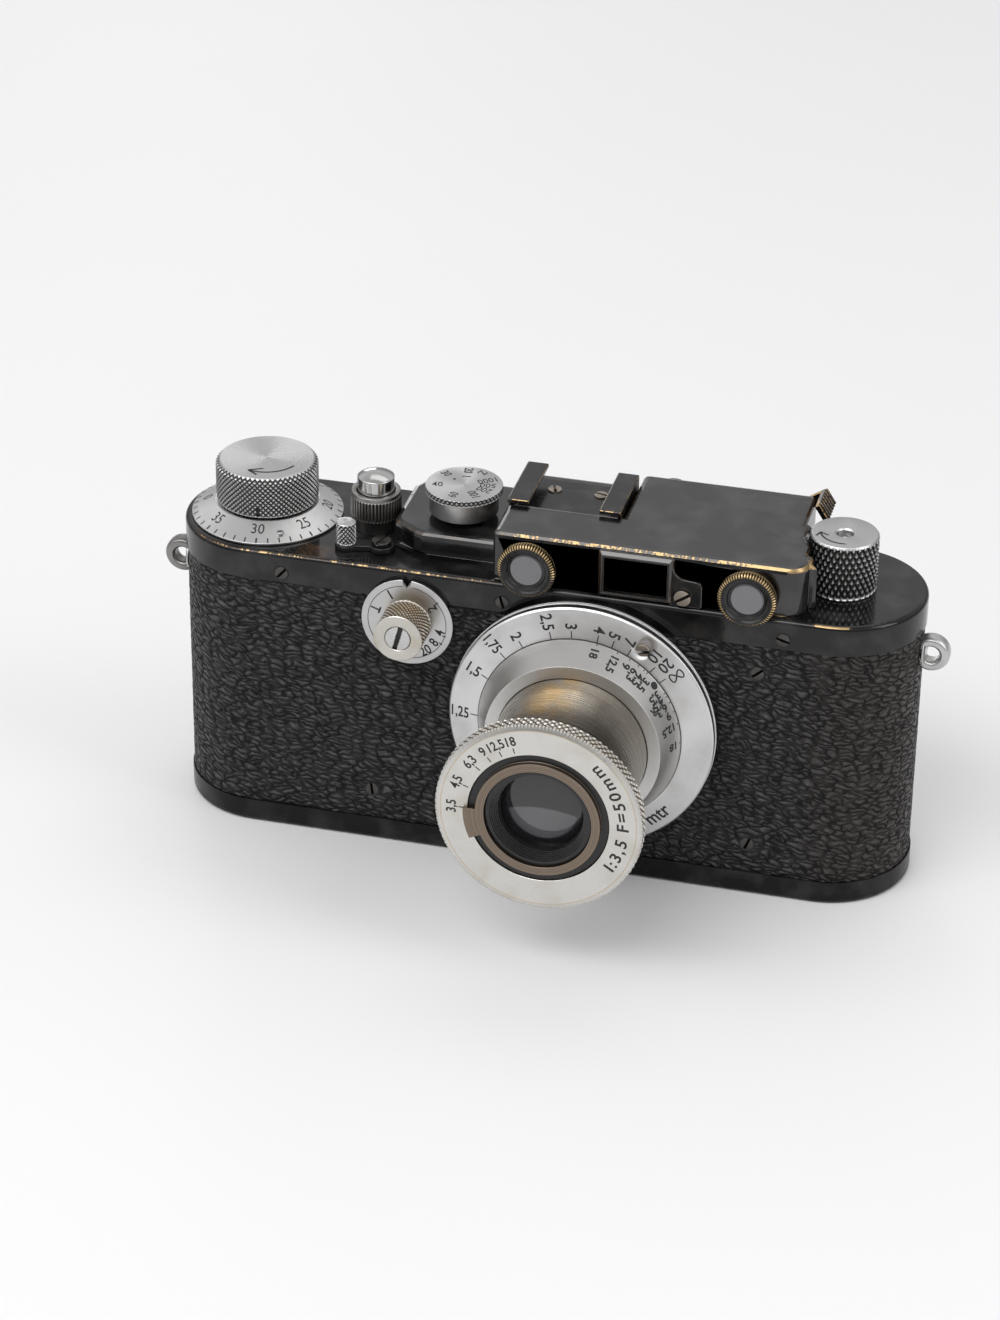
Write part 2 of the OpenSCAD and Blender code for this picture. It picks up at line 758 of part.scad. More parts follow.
// Rear ring of the focusing mount, which the rangefinder arm feels
module coupling_ring() {
    color([0.78, 0.76, 0.7]) lens_band(8.6, 12.1, 13.6, 16.5);
}

// Turning ring with the depth scale, its helix sleeve and the arm of the infinity catch
module focus_ring() {
    bore = tube_r + 0.07;
    outline = [[bore, 16.2], [14.7, 16.2], [14.7, 12.2], [helix_r - 0.07, 12.2],
               [helix_r - 0.07, flange_face + 0.2], [focus_r, flange_face + 0.2],
               [focus_r, focus_edge], [15.6, focus_front], [bore, focus_front + 0.15]];
    color([0.82, 0.8, 0.76]) on_lens_axis() difference() {
        union() {
            rotate_extrude() polygon(outline);
            rotate([0, 0, lever_angle]) {
                slab([focus_r - 1.4, lever_r], [-1.9, 1.9], [focus_edge + 0.15, focus_edge + 1.6]);
                translate([lever_r, 0, focus_edge + 0.15]) cylinder(h = 1.45, r = 3);
            }
        }
        rotate([0, 0, lever_angle]) translate([lever_r, 0, focus_edge - 1]) cylinder(h = 5, r = 1.25);
    }
}

// Guide ring that turns with the tube and lets it slide
module bayonet_ring() {
    color([0.7, 0.62, 0.4]) lens_band(12.3, 16, tube_r + 0.05, 14.62);
}

module infinity_button() {
    color([0.8, 0.8, 0.78]) on_lens_axis() rotate([0, 0, lever_angle]) translate([lever_r, 0, 0]) {
        translate([0, 0, focus_edge + 0.4]) cylinder(h = 2.2, r = 1.2);
        translate([0, 0, focus_edge + 2.6]) cylinder(h = 1.9, r = 3);
    }
}

module lens_tube() {
    color([0.7, 0.62, 0.45]) lens_band(tube_back, tube_front, 12.5, tube_r);
}

module front_ring() {
    outline = [[12.2, tube_front], [15.6, tube_front], [16.8, 46.6], [front_r, 46.7], [front_r, 48.9],
               [16.9, front_face], [12.2, front_face]];
    color([0.84, 0.82, 0.78]) on_lens_axis() rotate_extrude() polygon(outline);
}

module optics_barrel() {
    outline = [[8.2, 37], [12.15, 37], [12.15, 48.4], [9.2, 48.4], [9.2, front_face], [8.4, front_face],
               [7.2, 47.2], [7.2, 46.4], [8.2, 46.4]];
    color([0.1, 0.1, 0.1]) on_lens_axis() rotate_extrude() polygon(outline);
}

module aperture_ring() {
    color([0.6, 0.5, 0.33]) {
        lens_band(48.5, 49, 9.27, 12.12);
        lens_band(49, 49.9, 9.27, 10.82);
        on_lens_axis() rotate([0, 0, aperture_index]) rotate_extrude(angle = 27)
            polygon([[10.8, 49], [12.1, 49], [12.1, front_face + 0.1], [12.9, front_face + 0.1],
                     [12.9, 49.9], [10.8, 49.9]]);
    }
}

module lens_glasses() {
    color([0.45, 0.5, 0.55]) {
        glass_disc(44.6, 46.35, 8.15);
        glass_disc(41.6, 42.6, 8.15);
        glass_disc(37.6, 40, 8.15);
    }
}

module iris_blades() {
    color([0.12, 0.12, 0.13]) lens_band(43.3, 43.8, 6.4, 8.15);
}

// ---------- base ----------

module base_plate() {
    color([0.05, 0.05, 0.06]) difference() {
        translate([0, 0, base_h]) mirror([0, 0, 1]) rounded_plate(end_r, base_h, 0.9);
        translate([0, 0, 1.2]) linear_extrude(base_h) stadium(end_r - 1);
        post(wind_x, 0, -1, 8, 7.22);
        post(key_x, 0, -1, 2, 8.05);
    }
}

module tripod_bush() {
    color([0.75, 0.62, 0.35]) difference() {
        union() {
            post(wind_x, 0, 0, 5.4, 7.2);
            post(wind_x, 0, 1.2, 2.2, 8.4);
        }
        post(wind_x, 0, -1, 8, 4);
    }
}

// Turning lock of the base plate, with the recess of its folding handle
module base_key() {
    color([0.75, 0.74, 0.7]) translate([key_x, 0, 0]) {
        difference() {
            post(0, 0, 0.3, 1.25, 8);
            slab([-5.5, 5.5], [0.5, 5], [0, 0.78]);
        }
        post(0, 0, 1.25, 1.9, 9.2);
        post(0, 0, 1.9, 3.1, 4);
        slab([3, 13.6], [-2, 2], [1.95, 3.1]);
    }
}

// Handle that folds out about its round edge
module base_key_flap() {
    edge = [0.9, 0.52];
    edge_r = 0.2;
    color([0.8, 0.79, 0.75]) translate([key_x, 0, 0]) {
        slab([-5.3, 5.3], [edge[0], 4.8], [edge[1] - edge_r, edge[1] + edge_r]);
        translate([-5.3, edge[0], edge[1]]) rotate([0, 90, 0]) cylinder(h = 10.6, r = edge_r, $fn = 24);
    }
}

body_shell();
leather_cover();
top_plate();
mechanism_plate();
shutter_crate();
film_gate();
pressure_plate();
shutter_curtains();
tension_rollers();
rangefinder_housing();
rf_window_rims();
cover_glasses();
cover_screws();
finder_frame();
accessory_shoe();
finder_eyepiece();
rf_eyepiece();
diopter_lever();
rf_arm();
rf_moving_prism();
rf_fixed_prism();
wind_knob();
wind_shaft();
take_up_spool();
frame_counter_dial();
release_button();
release_collar();
release_spring();
sprocket_drum();
clutch_lever();
clutch_knob();
clutch_screw();
curtain_drum();
dial_core();
speed_dial();
rewind_knob();
rewind_shaft();
strap_lugs();
slow_dial();
slow_dial_knob();
slow_dial_screw();
slow_dial_bush();
slow_escapement();
body_mount_ring();
lens_flange();
coupling_ring();
focus_ring();
infinity_button();
bayonet_ring();
lens_tube();
front_ring();
optics_barrel();
aperture_ring();
lens_glasses();
iris_blades();
base_plate();
tripod_bush();
base_key();
base_key_flap();
body_screws();
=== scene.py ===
"""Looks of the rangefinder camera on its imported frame: turned metal, worn enamel, leather and scales."""

import math
from functools import reduce

import bpy
import numpy as np
from mathutils import Matrix, Vector, noise


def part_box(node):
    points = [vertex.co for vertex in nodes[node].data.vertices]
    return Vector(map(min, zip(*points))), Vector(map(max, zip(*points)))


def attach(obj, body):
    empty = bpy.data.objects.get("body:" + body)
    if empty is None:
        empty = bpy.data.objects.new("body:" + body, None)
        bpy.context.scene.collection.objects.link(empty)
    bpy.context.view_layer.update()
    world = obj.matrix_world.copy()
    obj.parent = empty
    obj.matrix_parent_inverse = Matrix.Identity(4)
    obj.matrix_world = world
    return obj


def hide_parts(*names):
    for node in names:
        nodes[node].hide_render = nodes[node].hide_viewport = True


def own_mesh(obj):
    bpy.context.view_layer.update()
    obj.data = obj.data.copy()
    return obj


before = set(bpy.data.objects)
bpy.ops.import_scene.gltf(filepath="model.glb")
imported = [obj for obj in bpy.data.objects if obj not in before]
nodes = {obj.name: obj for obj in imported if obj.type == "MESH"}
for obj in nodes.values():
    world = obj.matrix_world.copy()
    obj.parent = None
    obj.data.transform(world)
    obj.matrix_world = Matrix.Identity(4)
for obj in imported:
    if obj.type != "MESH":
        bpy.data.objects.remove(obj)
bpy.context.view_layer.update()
MM = 0.001
WHOLE = 2 * math.pi


# ---------- places taken from the frame, in millimetres ----------


def extent(node):
    """Lowest and highest corner of a CAD node."""
    low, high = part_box(node)
    return np.array(low) / MM, np.array(high) / MM


def middle(node):
    """The middle of a CAD node's box."""
    low, high = extent(node)
    return (low + high) / 2


def reach(node, axis=0):
    """Half the node's width, which is its radius where it is turned."""
    low, high = extent(node)
    return (high[axis] - low[axis]) / 2


def turned_size(node):
    """Radius and height of a round node that stands upright."""
    low, high = extent(node)
    return reach(node), high[2] - low[2]


def upright(node):
    """Places a piece made round local Z on the node's upright axis, from its lowest point up."""
    x, y = middle(node)[:2]
    return Matrix.Translation(Vector((x, y, extent(node)[0][2])) * MM)


def facing_out(x, z, y=0.0):
    """Places a piece made round local Z so that local Z points out of the camera's front."""
    return Matrix.Translation(Vector((x, y, z)) * MM) @ Matrix.Rotation(math.pi / 2, 4, "X")


def turned_by(degrees):
    """A turn round local Z."""
    return Matrix.Rotation(math.radians(degrees), 4, "Z")


def off_axis(radius, degrees, height):
    """A shift to a radius, an angle and a height round local Z."""
    turn = math.radians(degrees)
    return Matrix.Translation(Vector((radius * math.cos(turn), radius * math.sin(turn), height)) * MM)


def circle(radius, count):
    """Evenly spread points of a circle."""
    turns = np.linspace(0, WHOLE, count, endpoint=False)
    return [(radius * math.cos(t), radius * math.sin(t)) for t in turns]


LENS = middle("front_ring")
SLOW = middle("slow_dial_knob")
ON_LENS = facing_out(LENS[0], LENS[2])
BODY_R = reach("top_plate", 1)
END_X = reach("top_plate") - BODY_R
LEATHER_R = reach("leather_cover", 1)
LEATHER_LOW, LEATHER_HIGH = extent("leather_cover")[0][2], extent("leather_cover")[1][2]

# The screws' places along and up the body, as in the part's source.
SKIRT_SCREWS = (-44.9, -5.1, 44.2)
SKIRT_SCREW_Z = 52.0
LEATHER_SCREWS = ((40, 44.7), (39.7, 10.1), (-28.7, 10.2), (-28.7, 44.4))


# ---------- materials ----------


class Shader:
    """A Principled material in the making. Its place is the object's own position in millimetres."""

    def __init__(self, name, colour, roughness, metallic=0.0, **sockets):
        self.material = bpy.data.materials.new(name)
        self.material.use_nodes = True
        self.tree = self.material.node_tree
        self.surface = self.tree.nodes["Principled BSDF"]
        self.normal = None
        coordinates = self.node("TexCoord")
        scale = self.node("VectorMath", coordinates.outputs["Object"], operation="SCALE")
        scale.inputs["Scale"].default_value = 1 / MM
        self.place = scale.outputs[0]
        self.facing = coordinates.outputs["Normal"]
        self.set("Base Color", (*colour, 1) if isinstance(colour, tuple) else colour)
        self.set("Roughness", roughness)
        self.set("Metallic", metallic)
        for key, value in sockets.items():
            self.set(key.replace("_", " "), value)

    def node(self, kind, *values, **settings):
        """A new shader node with its settings made and its first sockets plugged."""
        made = self.tree.nodes.new("ShaderNode" + kind)
        for key, setting in settings.items():
            setattr(made, key, setting)
        for socket, value in zip(made.inputs, values):
            self.plug(socket, value)
        return made

    def plug(self, socket, value):
        """Links a socket to another one, or gives it a number, a colour or a vector."""
        if isinstance(value, bpy.types.NodeSocket):
            self.tree.links.new(value, socket)
        elif isinstance(value, tuple) and len(value) == 3 and len(socket.default_value) == 4:
            socket.default_value = (*value, 1)
        else:
            socket.default_value = value

    def set(self, name, value):
        self.plug(self.surface.inputs[name], value)

    def colour(self, value):
        self.set("Base Color", value)

    def rough(self, value):
        self.set("Roughness", value)

    def maths(self, operation, a, b=0.0):
        return self.node("Math", a, b, operation=operation).outputs[0]

    def times(self, *values):
        return reduce(lambda a, b: self.maths("MULTIPLY", a, b), values)

    def plus(self, *values):
        return reduce(lambda a, b: self.maths("ADD", a, b), values)

    def minus(self, a, b):
        return self.maths("SUBTRACT", a, b)

    def length(self, a, b):
        return self.maths("SQRT", self.plus(self.times(a, a), self.times(b, b)))

    def step(self, value, low, high, bottom=0.0, top=1.0):
        """A smooth step from bottom at low to top at high."""
        ramp = self.node("MapRange", value, low, high, bottom, top, interpolation_type="SMOOTHSTEP")
        return ramp.outputs[0]

    def parts(self, vector):
        return self.node("SeparateXYZ", vector).outputs

    def point(self, x, y, z):
        return self.node("CombineXYZ", x, y, z).outputs[0]

    def noise(self, scale, detail=3.0, stretch=(1.0, 1.0, 1.0), place=None):
        """Cloudy noise of about 1 / scale millimetres."""
        spread = self.node("VectorMath", place or self.place, stretch, operation="MULTIPLY")
        cloud = self.node("TexNoise", spread.outputs[0])
        cloud.inputs["Scale"].default_value = scale
        cloud.inputs["Detail"].default_value = detail
        return cloud.outputs["Fac"]

    def mark(self):
        """The depth that a mesh stores at its points, 0 on the crests and 1 in the grooves."""
        return self.node("Attribute", attribute_name="mark").outputs["Fac"]

    def mix(self, share, a, b):
        """Between two colours."""
        node = self.node("Mix", share, data_type="RGBA")
        self.plug(node.inputs[6], a)
        self.plug(node.inputs[7], b)
        return node.outputs[2]

    def blend(self, share, a, b):
        """Between two numbers."""
        node = self.node("Mix", share)
        self.plug(node.inputs[2], a)
        self.plug(node.inputs[3], b)
        return node.outputs[0]

    def radius(self):
        """Distance from local Z."""
        x, y, _ = self.parts(self.place)
        return self.length(x, y)

    def bump(self, height, depth):
        """Bump whose full height is depth millimetres, on top of any bump before it."""
        node = self.node("Bump")
        node.inputs["Strength"].default_value = 1.0
        node.inputs["Distance"].default_value = depth * MM
        self.plug(node.inputs["Height"], height)
        if self.normal:
            self.plug(node.inputs["Normal"], self.normal)
        self.normal = node.outputs[0]
        self.set("Normal", self.normal)

    def turned(self):
        """Brushing that runs round local Z."""
        self.set("Tangent", self.node("Tangent", direction_type="RADIAL", axis="Z").outputs[0])


NICKEL = (0.6, 0.595, 0.59)
NICKEL_DARK = (0.3, 0.28, 0.25)
BRASS = (0.5, 0.37, 0.2)
BLACK = (0.004, 0.004, 0.0045)


def worn_black(name, wear, roughness=0.1, gloss=1.45, bare=BRASS):
    """Black enamel that is worn through to bare metal. wear(shader) gives 0 to 1 over the surface."""
    s = Shader(name, BLACK, roughness, IOR=gloss)
    amount = wear(s)
    patchy = s.plus(s.noise(0.5, 5), s.noise(2.2, 5, (1, 0.3, 1)))
    through = s.step(s.times(amount, patchy), 0.5, 0.58)
    thin = s.step(s.times(amount, patchy), 0.25, 0.5)
    rubbed = s.mix(s.step(s.noise(0.16, 8), 0.42, 0.72), BLACK, (0.026, 0.025, 0.024))
    paint = s.mix(thin, rubbed, (0.045, 0.026, 0.014))
    metal = s.mix(s.noise(2.5, 3), bare, (bare[0] * 0.55, bare[1] * 0.48, bare[2] * 0.38))
    s.colour(s.mix(through, paint, metal))
    s.set("Metallic", through)
    handled = s.step(s.noise(0.2, 6), 0.38, 0.72, roughness, roughness + 0.08)
    hairs = s.step(s.noise(0.7, 8, (0.12, 1.6, 1.6)), 0.56, 0.72, 0.0, 0.12)
    s.rough(s.blend(through, s.plus(handled, hairs), 0.34))
    s.bump(s.noise(0.25, 5), 0.025)
    s.bump(s.minus(1.0, through), 0.01)
    return s.material


def no_wear(s):
    """For enamel that is whole."""
    return 0.0


def edge_band(s):
    """1 on the rounded edges round a top face, from the way that the surface faces."""
    up = s.parts(s.facing)[2]
    return s.times(s.step(up, 0.12, 0.4), s.step(up, 0.985, 0.9))


def corner_band(s):
    """1 on the rounded edges of a box, where no side faces squarely along an axis."""
    x, y, z = (s.maths("ABSOLUTE", side) for side in s.parts(s.facing))
    return s.step(s.maths("MAXIMUM", s.maths("MAXIMUM", x, y), z), 0.985, 0.88)


def thin_edge(s):
    """A narrow line along the crest of a rounded edge."""
    up = s.parts(s.facing)[2]
    return s.times(s.step(up, 0.45, 0.65), s.step(up, 0.95, 0.84))


def housing_wear(s):
    """Along the housing's front edge, most at its right end, down its right corner, and faint elsewhere."""
    x, y, z = s.parts(s.place)
    front = s.step(y, -10.5, -12.6)
    along = s.plus(s.step(x, -8.0, 0.0, 0.35, 0.52), s.step(x, 34.0, 43.0, 0.0, 0.5))
    rim = s.times(thin_edge(s), front, along)
    corner = s.times(s.step(x, 42.5, 45.5), s.step(y, -5.0, -9.0))
    side = s.times(corner, edge_band(s), s.step(z, 63.6, 64.6, 0.0, 0.8))
    back = s.times(thin_edge(s), 0.4)
    return s.maths("MAXIMUM", s.maths("MAXIMUM", rim, side), back)


def skirt_wear(s):
    """Along the skirt's front edge left and right of the housing, where the bare line is partly brass wear
    and partly a painted highlight of the rounded edge, and in a patch at the top left.
    """
    x, y, z = s.parts(s.place)
    front = s.step(y, -8.0, -12.0)
    edge = s.times(thin_edge(s), s.step(z, 54.9, 55.3))
    left = s.step(x, -1.0, -8.0, 0.0, 0.5)
    right = s.times(s.step(x, 48.0, 50.0), s.step(x, 57.0, 54.0, 0.0, 0.9))
    patch = s.times(s.step(x, -47.0, -41.0), s.step(x, -33.0, -38.0))
    flat = s.times(s.step(y, -6.0, -11.0), s.step(z, 55.5, 55.75))
    top = s.times(patch, flat, 0.4)
    # The edge line is partly real brassing and partly a painted highlight along the edge's crest.
    line = s.times(edge, front, s.plus(left, right))
    return s.maths("MAXIMUM", line, top)


def lip_wear(s):
    """On every edge of the shoe's lips."""
    return s.times(corner_band(s), 0.56)


def finder_wear(s):
    """Faintly on the edges of the finder's frame."""
    return s.times(corner_band(s), 0.36)


def turned_metal(name, light=NICKEL, dark=NICKEL_DARK, roughness=0.26, tarnish=0.4, grooves=0.004,
                 groove=(0.03, 0.027, 0.024), uneven=0.14, fine=5):
    """Lathe-turned, brushed metal round local Z, darker and rougher where the mesh marks a groove."""
    s = Shader(name, light, roughness, 1.0, Anisotropic=0.8)
    s.turned()
    ring = s.point(s.times(s.radius(), 5.0), s.parts(s.place)[2], 0.0)
    brushing = s.noise(1.3, fine, place=ring)
    blotch = s.noise(0.2, 4)
    stain = s.step(blotch, 0.45, 0.85, 0.0, tarnish)
    clean = s.mix(brushing, light, tuple(0.86 * c for c in light))
    aged = s.mix(stain, clean, dark)
    hollow = s.mark()
    s.colour(s.mix(s.step(hollow, 0.12, 0.75, 0.0, 0.93), aged, groove))
    gloss = s.step(blotch, 0.3, 0.7, roughness, roughness + uneven)
    s.rough(s.plus(gloss, s.times(hollow, 0.25)))
    if grooves:
        s.bump(brushing, grooves)
    return s.material


def plain_metal(name, light, dark, roughness=0.3, stained=0.5):
    """Milled or rolled metal with stains and fine scratches."""
    s = Shader(name, light, roughness, 1.0)
    blotch = s.noise(0.35, 5)
    scratch = s.noise(3.0, 5, (1, 0.15, 1))
    s.colour(s.mix(s.step(blotch, 0.4, 0.8, 0.0, stained), light, dark))
    s.rough(s.step(scratch, 0.3, 0.7, roughness - 0.06, roughness + 0.12))
    s.bump(scratch, 0.003)
    return s.material


def polished_metal():
    """Smooth plated metal, with faint rubbing marks in its gloss."""
    s = Shader("polished_nickel", (0.5, 0.5, 0.5), 0.14, 1.0)
    rubbed = s.noise(0.8, 5)
    s.colour(s.mix(rubbed, (0.54, 0.54, 0.535), (0.44, 0.43, 0.42)))
    s.rough(s.step(rubbed, 0.35, 0.75, 0.11, 0.24))
    return s.material


def rim_metal(name, paint_top):
    """Coin-edged brass, dark between the teeth, with its black enamel left below the height paint_top."""
    s = Shader(name, BRASS, 0.28, 1.0)
    height = s.parts(s.place)[1]
    ragged = s.plus(height, s.times(s.noise(0.5, 4), 5.0))
    painted = s.times(s.step(ragged, paint_top, paint_top - 2.6), 0.9)
    hollow = s.step(s.mark(), 0.2, 0.7)
    brass = s.mix(s.noise(1.5, 4), (0.66, 0.5, 0.27), (0.44, 0.32, 0.17))
    toothed = s.mix(hollow, brass, (0.02, 0.015, 0.01))
    s.colour(s.mix(painted, toothed, (0.012, 0.011, 0.01)))
    s.set("Metallic", s.minus(1.0, painted))
    s.rough(s.blend(painted, 0.3, 0.145))
    return s.material


def finder_glass():
    """The finder's front glass: dark, with a painted view of the finder's inside: a lighter band of painted
    light round its eyepiece.
    """
    s = Shader("finder_glass", (0.02, 0.02, 0.02), 0.04, IOR=1.5)
    x, _, z = s.parts(s.place)
    eye_x, _, eye_z = map(float, middle("finder_eyepiece"))
    off_x = s.minus(x, eye_x)
    inside = s.step(s.maths("ABSOLUTE", off_x), 9.0, 8.5)
    off_z = s.minus(z, eye_z - 0.5)
    away = s.length(off_x, off_z)
    slant = s.plus(off_x, s.times(off_z, 0.5))
    within = s.times(s.step(off_z, -0.6, -0.3), s.step(slant, -3.4, -3.0), s.step(off_z, 3.4, 3.1))
    # Painted light: a lighter band in the colour round the eyepiece stands for the light inside the finder.
    painted_light = s.times(s.step(away, 2.3, 2.6), within)
    painted_view = s.mix(painted_light, (0.008, 0.008, 0.009), (0.13, 0.13, 0.135))
    s.colour(s.mix(inside, (0.17, 0.172, 0.18), painted_view))
    s.rough(s.step(s.noise(3.0, 5), 0.4, 0.8, 0.03, 0.12))
    return s.material


def tube_metal():
    """Nickel of the sliding tube, worn warm, with the brass coming through on top."""
    s = Shader("worn_tube_nickel", NICKEL, 0.3, 1.0, Anisotropic=0.6)
    s.turned()
    x, y, _ = s.parts(s.place)
    lines = s.noise(1.0, 6, (0.05, 0.05, 5.0))
    spot = s.times(s.step(y, 7.0, 12.0), s.step(x, -9.0, -4.0), s.step(x, 4.0, -1.0))
    ragged = s.times(spot, s.step(s.noise(0.2, 5), 0.3, 0.6))
    clean = s.mix(lines, (0.42, 0.385, 0.335), (0.25, 0.22, 0.18))
    s.colour(s.mix(ragged, clean, (0.46, 0.32, 0.16)))
    s.rough(s.step(lines, 0.3, 0.7, 0.22, 0.36))
    s.bump(lines, 0.005)
    return s.material


def aperture_metal():
    """Dark bronze of the aperture ring, with its sunken outer band blackened."""
    s = Shader("dark_bronze", (0.25, 0.19, 0.14), 0.33, 1.0)
    x, y, z = s.parts(s.place)
    away = s.length(s.minus(x, float(LENS[0])), s.minus(z, float(LENS[2])))
    sunk = s.times(s.step(away, 10.86, 10.9), s.step(y, -49.12, -49.05))
    scratch = s.noise(1.0, 4, place=s.point(s.times(away, 6.0), 0.0, 0.0))
    bronze = s.mix(s.step(scratch, 0.35, 0.65), (0.26, 0.21, 0.165), (0.15, 0.115, 0.09))
    s.colour(s.mix(sunk, bronze, (0.006, 0.006, 0.006)))
    s.set("Metallic", s.minus(1.0, sunk))
    s.rough(s.step(scratch, 0.3, 0.7, 0.26, 0.42))
    s.bump(scratch, 0.004)
    return s.material


def leather_material():
    """Pebbled leather: long low pebbles parted by dark wavy creases that run round the body, with a painted
    highlight on the pebble tops.
    """
    s = Shader("pebbled_leather", (0.02, 0.02, 0.02), 0.5, IOR=1.42)
    x, y, z = s.parts(s.place)
    straight = s.maths("MINIMUM", s.maths("MAXIMUM", x, -float(END_X)), float(END_X))
    bend = s.maths("ARCTAN2", s.minus(x, straight), s.maths("ABSOLUTE", y))
    along = s.plus(straight, s.times(bend, float(LEATHER_R)))
    across = s.plus(s.times(along, 0.5), s.times(s.noise(0.45, 3), 1.9))
    leaning = s.plus(s.times(z, 1.35), s.times(along, 0.2))
    upward = s.plus(leaning, s.times(s.noise(0.3, 4), 3.6))
    cells = s.node("TexVoronoi", s.point(across, upward, 0.0), voronoi_dimensions="2D",
                   feature="DISTANCE_TO_EDGE")
    cells.inputs["Scale"].default_value = 0.8
    away = cells.outputs["Distance"]
    depth = s.step(s.noise(0.5, 3), 0.3, 0.6, 0.35, 1.0)
    crease = s.times(s.step(away, 0.2, 0.04), depth)
    # Painted highlight: the pebble tops get a lighter colour, gated by noise.
    lit = s.times(s.step(away, 0.08, 0.5), s.step(s.noise(0.9, 4), 0.3, 0.65))
    tone_and_highlight = s.mix(lit, (0.01, 0.0097, 0.01), (0.078, 0.075, 0.078))
    brown = s.times(s.step(x, 40.0, 60.0), 0.5)
    tinted = s.mix(brown, tone_and_highlight, (0.034, 0.022, 0.015))
    s.colour(s.mix(crease, tinted, (0.002, 0.002, 0.002)))
    s.rough(s.blend(crease, s.step(s.noise(1.2, 4), 0.3, 0.7, 0.34, 0.5), 0.95))
    s.bump(s.minus(s.step(away, 0.0, 0.45), crease), 0.3)
    s.bump(s.noise(2.2, 4), 0.07)
    return s.material


def glass_material(name, colour, roughness=0.03):
    """Glass over a dark inside, with faint dust."""
    s = Shader(name, colour, roughness, IOR=1.6, Coat_Weight=0.6, Coat_Roughness=0.02)
    dust = s.step(s.noise(4.0, 6), 0.55, 0.8)
    s.colour(s.mix(dust, colour, tuple(min(1.0, 1.35 * c + 0.004) for c in colour)))
    s.rough(s.blend(dust, roughness, 0.16))
    s.bump(s.noise(0.15, 2), 0.004)
    return s.material


def lens_glass():
    """The front lens: dark, with a lighter patch of painted light low in it for the light inside the lens."""
    s = Shader("lens_glass", (0.03, 0.03, 0.032), 0.03, IOR=1.5, Coat_Weight=0.5, Coat_Roughness=0.02)
    x, y, _ = s.parts(s.place)
    # Painted light: the lower part of the lens gets a lighter colour for the light inside it.
    low = s.step(s.plus(y, s.times(x, x, 0.035)), 0.5, 0.1)
    inside = s.times(low, s.step(s.radius(), 6.2, 5.7))
    dust = s.step(s.noise(4.0, 6), 0.55, 0.8)
    dark = s.mix(dust, (0.02, 0.02, 0.022), (0.03, 0.03, 0.032))
    s.colour(s.mix(inside, dark, (0.11, 0.11, 0.115)))
    s.rough(s.blend(dust, 0.03, 0.12))
    s.bump(s.noise(0.15, 2), 0.004)
    return s.material


def dull_black(name, colour, roughness):
    """Blackened metal or engraving fill, a little cloudy."""
    s = Shader(name, colour, roughness, IOR=1.5)
    cloud = s.noise(0.6, 5)
    s.colour(s.mix(cloud, colour, tuple(1.9 * c for c in colour)))
    s.rough(s.step(cloud, 0.3, 0.7, roughness - 0.08, roughness + 0.12))
    s.bump(s.noise(3.0, 4), 0.006)
    return s.material


def cloth_material():
    """Rubberised shutter cloth with a fine weave."""
    s = Shader("shutter_cloth", (0.02, 0.018, 0.018), 0.75, Sheen_Weight=0.2)
    weave = s.noise(6.0, 2, (1, 1, 0.3))
    s.colour(s.mix(weave, (0.016, 0.015, 0.015), (0.04, 0.036, 0.034)))
    s.bump(weave, 0.03)
    return s.material


